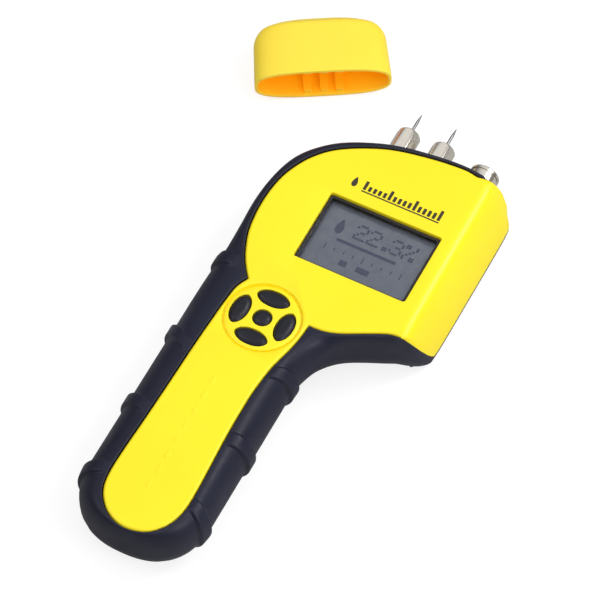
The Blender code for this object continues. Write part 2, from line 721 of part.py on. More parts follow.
def cap_section(half, thick, y, steps=28):
    """Rounded section of the cap at depth y, a superellipse."""
    ring = []
    for i in range(steps):
        angle = 2 * math.pi * i / steps
        u = math.copysign(abs(math.cos(angle)) ** (2.0 / CAP_POWER), math.cos(angle))
        v = math.copysign(abs(math.sin(angle)) ** (2.0 / CAP_POWER), math.sin(angle))
        ring.append((half * u, y, (CAP_THICK + thick * v) / 2))
    return ring


def cap_rings(wall):
    """Sections of the cap from its rim to its closed end, inset by wall."""
    bend = 10.0
    rings = [cap_section(CAP_HALF - wall, CAP_THICK - 2 * wall, 0.0),
             cap_section(CAP_HALF - 0.8 - wall, CAP_THICK - 2 * wall, CAP_DEPTH - bend)]
    for step in range(1, 6):
        angle = math.radians(15.0 * step)
        half = CAP_HALF - 0.8 - bend * (1.0 - math.cos(angle))
        squeeze = 3.0 * max(0.0, math.sin(angle) - 0.6) / 0.4
        y = CAP_DEPTH - bend + (bend - wall) * math.sin(angle) / math.sin(math.radians(75.0))
        rings.append(cap_section(half - wall, CAP_THICK - 2 * wall - 2 * squeeze, y))
    return rings


def pin_cap(mat):
    rings = cap_rings(0.0)
    obj = loft("pin_cap", rings, mat)
    pocket = cap_rings(CAP_WALL)
    mouth = [(x, -2.0, z) for x, _, z in pocket[0]]
    cut(obj, loft("pocket", [mouth] + pocket))
    for x in CAP_RIBS:
        for z in (1.9, CAP_THICK - 1.9):
            outline = rounded_rectangle(x, 10.5, 3.2, 18.0, 0.6, 2)
            join(obj, prism("rib", outline, z - 1.1, z + 1.1))
    obj.data.materials.clear()
    obj.data.materials.append(mat)
    shade(obj)
    place = Matrix.Translation((CAP_REST[0] * MM, CAP_REST[1] * MM, 0.0))
    obj.matrix_world = place @ Matrix.Rotation(CAP_TURN, 4, "Z")


# ---- the whole meter ----

def materials():
    return {
        "yellow": material("yellow_plastic", (0.95, 0.78, 0.02), 0.35),
        "grip": material("black_grip", (0.018, 0.018, 0.03), 0.55),
        "black_plastic": material("black_plastic", (0.02, 0.02, 0.022), 0.4),
        "white_plastic": material("white_plastic", (0.8, 0.8, 0.76), 0.5),
        "rubber": material("silicone_rubber", (0.05, 0.05, 0.055), 0.7),
        "key": material("key_rubber", (0.012, 0.012, 0.02), 0.45),
        "window": material("clear_window", (0.75, 0.8, 0.82), 0.08, 0.0, 0.3),
        "lcd": material("lcd_glass", (0.16, 0.18, 0.24), 0.25),
        "board": material("circuit_board", (0.02, 0.16, 0.06), 0.5),
        "brass": material("brass", (0.7, 0.5, 0.2), 0.3, 1.0),
        "chrome": material("nickel_plate", (0.75, 0.74, 0.72), 0.22, 1.0),
        "steel": material("steel", (0.55, 0.55, 0.56), 0.3, 1.0),
        "battery": material("battery_can", (0.08, 0.09, 0.11), 0.35, 0.6),
        "foam": material("foam", (0.08, 0.08, 0.08), 0.95),
        "lead_red": material("red_insulation", (0.55, 0.02, 0.02), 0.45),
        "lead_black": material("black_insulation", (0.02, 0.02, 0.02), 0.45),
        "lead_grey": material("grey_insulation", (0.3, 0.3, 0.32), 0.45),
    }


def main():
    clear_scene()
    mats = materials()
    front_housing(mats["yellow"])
    rear_housing(mats["grip"])
    battery_door(mats["grip"])
    display(mats)
    main_board(mats["board"])
    board_parts(mats)
    keypad(mats)
    contact_pins(mats)
    socket(mats)
    battery(mats)
    fasteners(mats)
    pin_cap(mats["yellow"])


main()
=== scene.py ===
"""Looks of a hand-held wood moisture meter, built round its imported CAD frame."""
import json
import math

import bmesh
import bpy
import numpy as np
from mathutils import Matrix, Vector


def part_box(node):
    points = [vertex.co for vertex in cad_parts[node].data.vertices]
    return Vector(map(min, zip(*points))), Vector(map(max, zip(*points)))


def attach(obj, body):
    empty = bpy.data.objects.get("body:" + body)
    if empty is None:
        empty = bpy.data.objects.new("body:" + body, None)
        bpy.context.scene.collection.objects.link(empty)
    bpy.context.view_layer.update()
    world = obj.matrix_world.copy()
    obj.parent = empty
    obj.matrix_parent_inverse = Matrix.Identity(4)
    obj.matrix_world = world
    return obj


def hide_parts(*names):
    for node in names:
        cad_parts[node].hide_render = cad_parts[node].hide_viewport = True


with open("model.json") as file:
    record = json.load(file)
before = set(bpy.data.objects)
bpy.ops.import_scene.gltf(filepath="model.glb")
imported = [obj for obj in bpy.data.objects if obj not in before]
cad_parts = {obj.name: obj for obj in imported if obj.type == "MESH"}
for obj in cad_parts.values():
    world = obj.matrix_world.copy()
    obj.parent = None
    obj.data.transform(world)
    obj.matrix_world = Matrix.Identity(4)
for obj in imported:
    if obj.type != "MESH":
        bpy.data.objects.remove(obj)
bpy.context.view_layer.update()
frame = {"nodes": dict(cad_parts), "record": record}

MM = 0.001


# ---- what the frame says (millimetres) ----

def span(node):
    """Lowest and highest corner of a CAD node, in millimetres."""
    low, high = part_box(node)
    return np.array(low) / MM, np.array(high) / MM


def middle(node):
    low, high = span(node)
    return (low + high) / 2


FACE_Z = span("front_housing")[1][2]
WINDOW_MIDDLE = middle("display_window")
PAD = middle("key_enter")
PIN_Z = middle("pin_nut_left")[2]
SCREWS = [name for name in frame["nodes"] if name.startswith("case_screw")] + ["neck_screw"]
CAP_JOINT = next(j for j in frame["record"]["behaviour"]["joints"] if j["child"] == "pin_cap")
CAP_TURN = math.atan2(-CAP_JOINT["axis"][0], CAP_JOINT["axis"][1])

# ---- the outside shape: the same outline as the CAD, sampled more finely ----

WALL = 2.4
SEAM_Z = 3.9             # lower edge of the yellow side wall
PLATE_Z = 24.9           # underside of the yellow front plate
GROOVE = 0.42            # width of the gap round the yellow front
GRIP_X = -25.7
GRIP_HALF = 25.9
END_Y = -126.0
END_LENGTH = 26.3
END_POWER = 2.4
SHOULDER_Z = 15.0
GRIP_BELLY = 14.5
HEAD_BELLY = 3.0
RIB_YS = (-27.9, -63.0, -98.0, -132.9)
RIB_HALF = 3.6
RIB_FLAT = 2.3
RIB_PROUD = 1.5
NECK_Y = -58.0
TOP_Y = -50.0

# round the head from the right of the neck, anticlockwise; each row is base x and y, face
# x and y, the height where the shoulder starts, and the power of the shoulder's curve
HEAD_ROWS = (
    (0.7, -58.0, -5.6, -58.0, 16.0, 2.0),
    (2.9, -50.5, -3.4, -50.5, 18.0, 2.0),
    (6.4, -45.0, -0.2, -43.8, 21.0, 2.0),
    (11.0, -40.8, 9.2, -40.2, 23.5, 2.0),
    (17.6, -37.2, 16.8, -36.4, 24.5, 2.0),
    (26.6, -33.0, 25.4, -32.3, 23.0, 2.0),
    (33.2, -29.4, 29.8, -30.6, 16.0, 1.7),
    (36.9, -24.6, 30.5, -28.0, 8.0, 1.45),
    (38.2, -17.0, 30.3, -22.0, 4.2, 1.35),
    (38.4, 10.0, 29.7, 8.0, 4.2, 1.35),
    (38.3, 43.0, 29.3, 40.5, 4.2, 1.35),
    (36.9, 48.4, 28.8, 45.4, 6.0, 1.4),
    (32.6, 51.0, 26.6, 47.8, 16.0, 1.7),
    (17.2, 51.3, 16.8, 49.6, 24.0, 2.0),
    (1.1, 50.4, 1.5, 48.2, 24.0, 2.0),
    (-14.3, 47.6, -13.4, 45.0, 23.5, 2.0),
    (-27.9, 42.4, -26.4, 38.2, 23.0, 2.0),
    (-37.2, 35.8, -34.5, 31.6, 23.0, 2.0),
    (-44.3, 26.9, -40.4, 24.2, 23.0, 2.0),
    (-47.9, 15.4, -44.8, 13.4, 23.0, 2.0),
    (-49.3, 2.0, -46.2, 1.0, 23.0, 2.0),
    (-49.1, -12.0, -44.8, -12.0, 22.0, 2.0),
    (-49.6, -24.0, -41.4, -24.0, 19.5, 2.0),
    (-51.0, -36.0, -38.8, -36.0, 17.0, 2.0),
    (-51.5, -50.0, -38.8, -50.0, 15.6, 2.0),
)
NOTCH_RIGHT_ROW = 2.0    # places along HEAD_ROWS where the yellow outline turns
NOTCH_LEFT_ROW = 22.8
SIDE_FIRST_ROW = 5.85
SIDE_LAST_ROW = 12.3
SIDE_POWER = 1.35        # shape of the yellow side wall
SIDE_TOP_X = 29.9
SIDE_LEAN = 8.4
SIDE_FOOT_Y = -18.5
SIDE_SLANT = 12.6
SIDE_BEND = 0.75
FACE_MARGIN = 0.8        # least distance from the yellow edge out to the face's edge
DOOR_REACH = 170.0       # the door's cutters run off the end of the grip
FRONT_ROUND = 1.2        # radius of the yellow front's top edge
PLATE_MARGIN = 2.2       # width of the yellow front's rim underneath

STRIP_EDGE = ((-3.8, -41.8), (-4.2, -47.5), (-5.3, -54.5), (-7.6, -64.0), (-8.9, -76.0),
              (-9.1, -86.0), (-8.9, -98.0), (-8.3, -110.0), (-7.7, -122.0), (-7.6, -132.0),
              (-8.8, -138.8), (-11.6, -144.4), (-16.6, -148.8), (-24.0, -150.4),
              (-30.4, -148.7), (-35.6, -144.6), (-38.9, -139.0), (-40.1, -132.0),
              (-40.1, -122.0), (-39.4, -106.0), (-38.8, -88.0), (-38.3, -70.0),
              (-37.6, -54.0), (-37.0, -45.0), (-36.2, -38.5), (-33.9, -33.4))
LOBE_EDGE = ((-33.9, -33.4), (-38.5, -26.8), (-41.9, -19.6), (-44.2, -12.0), (-45.3, -2.0),
             (-44.9, 8.8), (-42.6, 18.4), (-37.4, 28.2), (-29.0, 36.2), (-14.0, 43.8),
             (1.5, 47.4), (16.8, 48.9), (24.4, 47.7))
BOTTOM_EDGE = ((29.5, -31.0), (24.8, -31.4), (16.2, -35.5), (9.0, -39.2), (3.6, -41.2), (-0.4, -41.8),
               (-3.8, -41.8))


# ---- small geometry helpers ----

def smooth(rows, steps):
    """Catmull-Rom curve through rows of any width, both ends included."""
    rows = np.array(rows, float)
    last = len(rows) - 1
    result = []
    for i in range(last):
        four = [rows[max(i - 1, 0)], rows[i], rows[i + 1], rows[min(i + 2, last)]]
        for k in range(steps):
            t = k / steps
            weights = (-t + 2 * t ** 2 - t ** 3, 2 - 5 * t ** 2 + 3 * t ** 3,
                       t + 4 * t ** 2 - 3 * t ** 3, t ** 3 - t ** 2)
            result.append(0.5 * sum(w * row for w, row in zip(weights, four)))
    result.append(rows[-1])
    return np.array(result)


def lengths(points):
    """Arc length from the first point to each point, scaled to end at one."""
    steps = np.linalg.norm(np.diff(points, axis=0), axis=1)
    total = np.concatenate([[0.0], np.cumsum(steps)])
    return total / total[-1]


def along(points, where):
    """Points at the given fractions of a polyline's length."""
    points = np.asarray(points, float)
    spots = lengths(points)
    return np.stack([np.interp(where, spots, points[:, c]) for c in range(points.shape[1])], 1)


def ease(value, start, end):
    """Smooth step from 0 at start to 1 at end."""
    t = np.clip((value - start) / (end - start), 0.0, 1.0)
    return t * t * (3 - 2 * t)


def turn(steps):
    """Evenly spaced angles once round."""
    return 2 * math.pi * np.arange(steps) / steps


def squared(angles, across, up):
    """A rounded square loop: its sides bow more or less with the two powers."""
    u = np.sign(np.cos(angles)) * np.abs(np.cos(angles)) ** across
    v = np.sign(np.sin(angles)) * np.abs(np.sin(angles)) ** up
    return u, v


def arc(cx, cy, radius, start, end, steps):
    angles = np.radians(np.linspace(start, end, steps + 1))
    return np.stack([cx + radius * np.cos(angles), cy + radius * np.sin(angles)], 1)


def circle(cx, cy, radius, steps=64):
    return arc(cx, cy, radius, 0.0, 360.0, steps)[:-1]


def rounded_rectangle(cx, cy, width, height, radius, steps=8):
    dx = width / 2 - radius
    dy = height / 2 - radius
    parts = [arc(cx + sx * dx, cy + sy * dy, radius, start, start + 90, steps)
             for sx, sy, start in ((1, 1, 0), (-1, 1, 90), (-1, -1, 180), (1, -1, 270))]
    return np.concatenate(parts)


def at(outline, z):
    """A plan outline lifted to height z."""
    return np.column_stack([outline, np.full(len(outline), z)])


def mesh_piece(name, points, faces, mat, angle=35.0):
    """A mesh from millimetre points, with faces turned outwards and shaded smooth."""
    mesh = bpy.data.meshes.new(name)
    mesh.from_pydata([tuple(p) for p in np.asarray(points, float) * MM], [], faces)
    work = bmesh.new()
    work.from_mesh(mesh)
    big = [f for f in work.faces if len(f.verts) > 4]
    bmesh.ops.triangulate(work, faces=big)
    bmesh.ops.recalc_face_normals(work, faces=work.faces)
    work.to_mesh(mesh)
    work.free()
    obj = bpy.data.objects.new(name, mesh)
    bpy.context.scene.collection.objects.link(obj)
    if mat is not None:
        mesh.materials.append(mat)
    mesh.shade_smooth()
    mesh.set_sharp_from_angle(angle=math.radians(angle))
    return obj


def loft(name, rings, mat=None, closed=False, angle=35.0):
    """Skin a stack of rings; an open stack gets end caps, a closed one is a torus."""
    count = len(rings[0])
    faces = []
    for i in range(len(rings) if closed else len(rings) - 1):
        low = i * count
        high = ((i + 1) % len(rings)) * count
        for j in range(count):
            k = (j + 1) % count
            faces.append((low + j, low + k, high + k, high + j))
    points = np.concatenate(rings)
    if not closed:
        faces.append(tuple(range(count)))
        faces.append(tuple(range(len(points) - count, len(points))))
    return mesh_piece(name, points, faces, mat, angle)


def turned(name, profile, centre, axis, mat=None, steps=64, hollow=False, angle=35.0):
    """Turn a (radius, height) profile about an upright ('Z') or pin-wise ('Y') axis."""
    angles = turn(steps)
    rings = []
    for radius, height in profile:
        u = radius * np.cos(angles)
        v = radius * np.sin(angles)
        h = np.full(steps, height)
        if axis == "Y":
            rings.append(np.column_stack([centre[0] + u, h, centre[2] + v]))
        else:
            rings.append(np.column_stack([centre[0] + u, centre[1] + v, h]))
    return loft(name, rings, mat, hollow, angle)


def merge(name, objects):
    """Join loose closed shapes into one object."""
    work = bmesh.new()
    for obj in objects:
        work.from_mesh(obj.data)
    mesh = bpy.data.meshes.new(name)
    work.to_mesh(mesh)
    work.free()
    materials = objects[0].data.materials[:]
    for obj in objects:
        bpy.data.objects.remove(obj, do_unlink=True)
    for mat in materials:
        mesh.materials.append(mat)
    piece = bpy.data.objects.new(name, mesh)
    bpy.context.scene.collection.objects.link(piece)
    return piece


def combine(obj, other, operation):
    """Boolean another solid into obj, keep obj's materials and remove the other."""
    kept = obj.data.materials[:]
    other.data.materials.clear()
    modifier = obj.modifiers.new("cut", "BOOLEAN")
    modifier.operation = operation
    modifier.object = other
    modifier.solver = "EXACT"
    depsgraph = bpy.context.evaluated_depsgraph_get()
    result = bpy.data.meshes.new_from_object(obj.evaluated_get(depsgraph))
    obj.modifiers.clear()
    obj.data = result
    result.materials.clear()
    for mat in kept:
        result.materials.append(mat)
    for polygon in result.polygons:
        polygon.material_index = 0
    bpy.data.objects.remove(other, do_unlink=True)
    result.shade_smooth()
    result.set_sharp_from_angle(angle=math.radians(35.0))


def settle(piece, body, node=None):
    """Let a piece ride on a body and, when a CAD node is given, stand in for it by hiding that node."""
    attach(piece, body)
    if node:
        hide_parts(node)


# ---- materials ----

class Nodes:
    """A material's node tree, with short calls to add and link nodes."""

    def __init__(self, name):
        self.mat = bpy.data.materials.new(name)
        self.mat.use_nodes = True
        self.tree = self.mat.node_tree
        self.shader = self.tree.nodes["Principled BSDF"]
        self.output = self.tree.nodes["Material Output"]
        self.place = self.tree.nodes.new("ShaderNodeTexCoord").outputs["Object"]

    def add(self, kind, inputs=None, **settings):
        node = self.tree.nodes.new(kind)
        for key, value in settings.items():
            setattr(node, key, value)
        for key, value in (inputs or {}).items():
            self.put(node.inputs[key], value)
        return node

    def put(self, socket, value):
        if isinstance(value, bpy.types.NodeSocket):
            self.tree.links.new(value, socket)
        elif isinstance(value, tuple) and len(value) == 3 and socket.type == "RGBA":
            socket.default_value = (*value, 1.0)
        else:
            socket.default_value = value

    def set(self, **values):
        for key, value in values.items():
            self.put(self.shader.inputs[key.replace("_", " ")], value)

    def noise(self, scale, detail=2.0, rough=0.5, stretch=None):
        where = self.place
        if stretch:
            where = self.add("ShaderNodeMapping", {"Vector": where, "Scale": stretch}).outputs[0]
        inputs = {"Vector": where, "Scale": scale, "Detail": detail, "Roughness": rough}
        return self.add("ShaderNodeTexNoise", inputs).outputs["Fac"]

    def remap(self, value, low, high, to_low, to_high):
        inputs = {"Value": value, "From Min": low, "From Max": high,
                  "To Min": to_low, "To Max": to_high}
        return self.add("ShaderNodeMapRange", inputs).outputs["Result"]

    def mix(self, factor, first, second):
        node = self.add("ShaderNodeMix", data_type="RGBA")
        self.put(node.inputs["Factor"], factor)
        self.put(node.inputs[6], first)
        self.put(node.inputs[7], second)
        return node.outputs[2]

    def math(self, operation, first, second=0.0):
        node = self.add("ShaderNodeMath", operation=operation)
        self.put(node.inputs[0], first)
        self.put(node.inputs[1], second)
        return node.outputs[0]

    def bump(self, height, strength, distance, normal=None):
        inputs = {"Height": height, "Strength": strength, "Distance": distance}
        if normal is not None:
            inputs["Normal"] = normal
        return self.add("ShaderNodeBump", inputs).outputs["Normal"]

    def uneven(self, scale, detail, low, high):
        """A value that wanders between low and high over the surface."""
        return self.remap(self.noise(scale, detail), 0.3, 0.7, low, high)

    def wear_and_highlight_on_edges(self, tone, radius, amount, colour):
        """The tone with a share of another colour laid over its edges: partly wear, partly a painted edge
        highlight.
        """
        return self.mix(self.math("MULTIPLY", self.edges(radius), amount), tone, colour)

    def edges(self, radius, low=0.0, high=0.25):
        """1 on edges, from how far a rounded normal turns away from the true one."""
        soft = self.add("ShaderNodeBevel", {"Radius": radius}, samples=4).outputs[0]
        true = self.add("ShaderNodeNewGeometry").outputs["Normal"]
        node = self.add("ShaderNodeVectorMath", operation="DOT_PRODUCT")
        self.put(node.inputs[0], soft)
        self.put(node.inputs[1], true)
        away = self.math("SUBTRACT", 1.0, node.outputs["Value"])
        return self.remap(away, low, high, 0.0, 1.0)


def yellow_plastic(name, colour, deep, rough=0.34, painted_glow=0.0):
    """Satin moulded ABS: fine grain, faint flow marks, edges painted paler (partly rubbed wear, partly a
    painted edge highlight), a little scuffing.

    The last argument sets a painted glow: recesses found by ambient occlusion are painted deeper orange
    (painted shade) and emit amber light, standing in for light coming through a thin wall.
    """
    n = Nodes(name)
    tone = n.mix(n.uneven(22.0, 3.0, 0.0, 1.0), colour, deep)
    # Edges painted paler: partly rubbed wear, partly a painted edge highlight.
    tone = n.wear_and_highlight_on_edges(tone, 0.0007, 0.45, tuple(min(1.0, c * 1.06 + 0.05) for c in colour))
    scuffs = n.noise(60.0, 6.0, 0.7, (1.0, 0.12, 1.0))
    rough_value = n.remap(scuffs, 0.3, 0.75, rough - 0.05, rough + 0.12)
    grain = n.noise(2600.0, 2.0, 0.6)
    n.set(Base_Color=tone, Roughness=rough_value, Specular_IOR_Level=0.42)
    n.set(Normal=n.bump(grain, 0.12, 0.00006))
    if painted_glow:
        # Painted shade and glow: ambient occlusion paints recesses deeper orange and makes them emit amber
        # light.
        open_sky = n.add("ShaderNodeAmbientOcclusion", {"Distance": 0.03}, samples=8).outputs["AO"]
        inside = n.remap(open_sky, 0.3, 0.8, 1.0, 0.0)
        deepest = n.remap(open_sky, 0.05, 0.4, 0.25, 1.0)
        n.set(Base_Color=n.mix(inside, tone, (1.0, 0.53, 0.008)))
        painted_glow_strength = n.math("MULTIPLY", n.math("MULTIPLY", inside, deepest), painted_glow)
        n.set(Emission_Color=(1.0, 0.42, 0.0), Emission_Strength=painted_glow_strength)
    n.set(Subsurface_Weight=0.06, Subsurface_Radius=(0.9, 0.6, 0.1), Subsurface_Scale=0.002)
    return n.mat


def grip_rubber():
    """Blue-black moulded rubber: leathery fine grain, edges painted greyer in patches, partly hand wear and
    partly a painted edge highlight.
    """
    n = Nodes("grip_rubber")
    # Edges painted greyer in patches: partly hand wear, partly a painted edge highlight.
    worn_and_lit_edges = n.math("MULTIPLY", n.noise(35.0, 5.0, 0.65), n.edges(0.0016, 0.0, 0.35))
    cloud = n.noise(14.0, 3.0)
    tone = n.mix(n.remap(cloud, 0.35, 0.7, 0.0, 1.0), (0.0062, 0.0068, 0.021), (0.0115, 0.0125, 0.031))
    tone = n.mix(worn_and_lit_edges, tone, (0.06, 0.06, 0.075))
    grain = n.add("ShaderNodeTexVoronoi", {"Vector": n.place, "Scale": 1500.0}).outputs["Distance"]
    fine = n.noise(4200.0, 2.0)
    rough = n.uneven(90.0, 4.0, 0.4, 0.54)
    n.set(Base_Color=tone, Roughness=rough, Specular_IOR_Level=0.3)
    n.set(Normal=n.bump(fine, 0.1, 0.00004, n.bump(grain, 0.3, 0.00008)))
    return n.mat


def dark_plastic(name, colour=(0.012, 0.012, 0.014), rough=0.42, scale=1800.0):
    n = Nodes(name)
    tone = n.mix(n.noise(40.0, 3.0), colour, tuple(c * 1.6 + 0.002 for c in colour))
    # Edges painted paler: partly rubbed wear, partly a painted edge highlight.
    tone = n.wear_and_highlight_on_edges(tone, 0.0004, 0.4, tuple(c + 0.05 for c in colour))
    n.set(Base_Color=tone, Roughness=n.uneven(120.0, 4.0, rough - 0.06, rough + 0.08))
    n.set(Normal=n.bump(n.noise(scale, 2.0), 0.12, 0.00005))
    return n.mat


def key_rubber():
    n = Nodes("key_rubber")
    tone = n.mix(n.noise(300.0, 3.0), (0.006, 0.006, 0.012), (0.012, 0.012, 0.022))
    # Edges painted paler: partly rubbed wear, partly a painted edge highlight.
    tone = n.wear_and_highlight_on_edges(tone, 0.0006, 0.35, (0.05, 0.05, 0.06))
    n.set(Base_Color=tone, Roughness=n.uneven(500.0, 3.0, 0.34, 0.46), Specular_IOR_Level=0.3)
    n.set(Normal=n.bump(n.noise(3000.0, 2.0), 0.08, 0.00004))
    return n.mat


def metal(name, colour, rough, brushed=(1.0, 1.0, 1.0), tarnish=0.25):
    """Turned metal: lathe lines across the brushed direction, faint tarnish, edges painted brighter (partly
    wear, partly a painted edge highlight).
    """
    n = Nodes(name)
    spots = n.remap(n.noise(160.0, 5.0, 0.65), 0.45, 0.75, 0.0, tarnish)
    tone = n.mix(spots, colour, tuple(c * 0.55 for c in colour))
    # Edges painted brighter: partly wear, partly a painted edge highlight.
    tone = n.wear_and_highlight_on_edges(tone, 0.0004, 0.5, tuple(min(1.0, c * 1.25) for c in colour))
    lines = n.noise(900.0, 3.0, 0.6, brushed)
    n.set(Base_Color=tone, Metallic=1.0)
    n.set(Roughness=n.remap(lines, 0.3, 0.7, rough - 0.05, rough + 0.1))
    n.set(Normal=n.bump(lines, 0.1, 0.00003))
    return n.mat


def clear_window():
    """Thin clear sheet: lets light straight through, with a faint sharp reflection."""
    n = Nodes("clear_window")
    clear = n.add("ShaderNodeBsdfTransparent", {"Color": (0.93, 0.95, 0.96)})
    gloss_rough = n.remap(n.noise(50.0, 5.0, 0.7), 0.4, 0.8, 0.03, 0.09)
    gloss = n.add("ShaderNodeBsdfGlossy", {"Roughness": gloss_rough})
    facing = n.add("ShaderNodeFresnel", {"IOR": 1.45}).outputs[0]
    mix = n.add("ShaderNodeMixShader", {0: facing, 1: clear.outputs[0], 2: gloss.outputs[0]})
    n.tree.links.new(mix.outputs[0], n.output.inputs["Surface"])
    n.tree.nodes.remove(n.shader)
    return n.mat


def lcd_glass():
    """Unlit liquid-crystal panel: grey-blue, with a barely seen pixel grid and mottling."""
    n = Nodes("lcd_glass")
    low, high = span("lcd_panel")
    parts = n.add("ShaderNodeSeparateXYZ", {"Vector": n.place})
    grid = []
    for axis in ("X", "Y"):
        wave = n.math("FRACT", n.math("MULTIPLY", parts.outputs[axis], 1.0 / (0.52 * MM)))
        grid.append(n.math("GREATER_THAN", wave, 0.86))
    lines = n.math("MAXIMUM", grid[0], grid[1])
    shift = n.remap(parts.outputs["Y"], low[1] * MM, high[1] * MM, 0.0, 1.0)
    tone = n.mix(shift, (0.25, 0.255, 0.315), (0.29, 0.3, 0.35))
    mottle = n.remap(n.noise(260.0, 4.0, 0.7), 0.35, 0.7, 0.0, 0.6)
    tone = n.mix(mottle, tone, (0.16, 0.165, 0.25))
    tone = n.mix(n.math("MULTIPLY", lines, 0.18), tone, (0.07, 0.075, 0.12))
    n.set(Base_Color=tone, Roughness=0.28)
    return n.mat


def lcd_ink():
    n = Nodes("lcd_ink")
    n.set(Base_Color=n.mix(n.noise(900.0), (0.04, 0.042, 0.12), (0.06, 0.062, 0.16)), Roughness=0.4)
    return n.mat


def printed_ink():
    """Pad-printed dark ink with slightly uneven cover."""
    n = Nodes("printed_ink")
    n.set(Base_Color=n.mix(n.noise(1400.0, 4.0), (0.016, 0.013, 0.01), (0.05, 0.042, 0.012)))
    n.set(Roughness=n.uneven(700.0, 2.0, 0.4, 0.6))
    return n.mat


def circuit_board():
    n = Nodes("circuit_board")
    tracks = n.add("ShaderNodeTexBrick", {"Vector": n.place, "Scale": 160.0,
                                          "Mortar Size": 0.06, "Color1": (0.012, 0.13, 0.045),
                                          "Color2": (0.014, 0.15, 0.05), "Mortar": (0.03, 0.24, 0.09)})
    n.set(Base_Color=tracks.outputs["Color"], Roughness=0.35)
    n.set(Normal=n.bump(tracks.outputs["Fac"], 0.2, 0.00005))
    return n.mat


def plain_plastic(name, colour, rough=0.45):
    n = Nodes(name)
    tone = n.mix(n.noise(60.0, 4.0), colour, tuple(c * 0.86 for c in colour))
    n.set(Base_Color=tone, Roughness=n.uneven(200.0, 3.0, rough - 0.06, rough + 0.08))
    n.set(Normal=n.bump(n.noise(2200.0), 0.1, 0.00005))
    return n.mat


def foam():
    n = Nodes("foam")
    cells = n.add("ShaderNodeTexVoronoi", {"Vector": n.place, "Scale": 1400.0}).outputs["Distance"]
    n.set(Base_Color=n.mix(cells, (0.02, 0.02, 0.02), (0.09, 0.09, 0.09)), Roughness=0.95)
    n.set(Normal=n.bump(cells, 0.6, 0.0002))
    return n.mat


def battery_can():
    """Printed steel jacket: dark body with a copper band at the terminal end, no lettering."""
    n = Nodes("battery_can")
    high = span("battery_9v")[1]
    y = n.add("ShaderNodeSeparateXYZ", {"Vector": n.place}).outputs["Y"]
    band = n.math("GREATER_THAN", y, (high[1] - 16.0) * MM)
    tone = n.mix(band, (0.02, 0.022, 0.026), (0.55, 0.27, 0.1))
    n.set(Base_Color=tone, Metallic=0.7, Roughness=n.uneven(300.0, 4.0, 0.25, 0.4))
    return n.mat


def floor_paper():
    """Pale seamless paper with faint shadows, clear from below so that the back can be seen."""
    n = Nodes("floor_paper")
    path = n.add("ShaderNodeLightPath")
    seen = path.outputs["Is Camera Ray"]
    tone = n.mix(n.noise(6.0, 2.0), (0.3, 0.3, 0.3), (0.28, 0.28, 0.28))
    n.set(Base_Color=n.mix(seen, (0.45, 0.45, 0.45), tone), Roughness=0.95)
    n.set(Specular_IOR_Level=0.1, Emission_Color=(1.0, 1.0, 1.0))
    n.set(Emission_Strength=n.math("MULTIPLY", seen, 0.78))
    back = n.add("ShaderNodeNewGeometry").outputs["Backfacing"]
    open_way = n.math("MAXIMUM", back, path.outputs["Is Shadow Ray"])
    clear = n.add("ShaderNodeBsdfTransparent")
    mix = n.add("ShaderNodeMixShader", {0: open_way, 1: n.shader.outputs[0], 2: clear.outputs[0]})
    n.tree.links.new(mix.outputs[0], n.output.inputs["Surface"])
    return n.mat


YELLOW = yellow_plastic("yellow_plastic", (1.0, 0.82, 0.012), (0.99, 0.78, 0.01))
# The cap's last argument (0.26) paints shade and an amber glow into its recesses.
CAP_YELLOW = yellow_plastic("cap_plastic", (1.0, 0.77, 0.06), (0.98, 0.72, 0.045), 0.38, 0.26)
GRIP = grip_rubber()
BLACK = dark_plastic("black_plastic")
BEZEL = dark_plastic("bezel_plastic", (0.010, 0.008, 0.008), 0.5)
KEY = key_rubber()
NICKEL = metal("nickel_plate", (0.82, 0.77, 0.69), 0.22, (1.0, 0.06, 1.0))
STEEL = metal("bright_steel", (0.34, 0.34, 0.35), 0.32, (1.0, 0.08, 1.0))
SCREW_STEEL = metal("screw_steel", (0.42, 0.42, 0.43), 0.3)
BRASS = metal("brass", (0.72, 0.5, 0.2), 0.28, (1.0, 0.1, 1.0))
WINDOW = clear_window()
LCD = lcd_glass()
LCD_INK = lcd_ink()
INK = printed_ink()
BOARD = circuit_board()
NYLON = plain_plastic("natural_nylon", (0.78, 0.77, 0.72))
SILICONE = plain_plastic("silicone", (0.05, 0.05, 0.055), 0.7)
FOAM = foam()
BATTERY = battery_can()
RED_WIRE = plain_plastic("red_pvc", (0.5, 0.02, 0.02))
BLACK_WIRE = plain_plastic("black_pvc", (0.015, 0.015, 0.015))
GREY_WIRE = plain_plastic("grey_pvc", (0.3, 0.3, 0.32))


# ---- rows of the outside shape ----

class Row:
    """One upright slice of the housing: outline point, face edge, yellow edge and shape."""

    def __init__(self, values, number, head=True):
        self.base = np.array(values[0:2], float)
        self.face = np.array(values[2:4], float)
        self.rise = values[4]
        self.power = values[5]
        self.number = number       # place along HEAD_ROWS, or -1 on the grip
        self.head = head
        self.out = None
        self.edge = None
        self.side = 0.0            # 1 where the yellow side wall runs down to the seam


def rib_height(point):
    """How far a grip rib stands proud; the rib nearest the head is on the left only."""
    best = 0.0
    for centre in RIB_YS:
        if centre == RIB_YS[0] and point[0] > GRIP_X:
            continue
        away = abs(point[1] - centre)
        best = max(best, 1.0 - ease(away, RIB_FLAT, RIB_HALF))
    return RIB_PROUD * best


def end_row(side, reach):
    across = max(0.0, 1.0 - reach ** END_POWER) ** (1.0 / END_POWER)
    values = (GRIP_X + side * GRIP_HALF * across, END_Y - END_LENGTH * reach, 0.0, 0.0,
              SHOULDER_Z + 3.0 * reach, 2.0)
    return Row(values, -1, False)


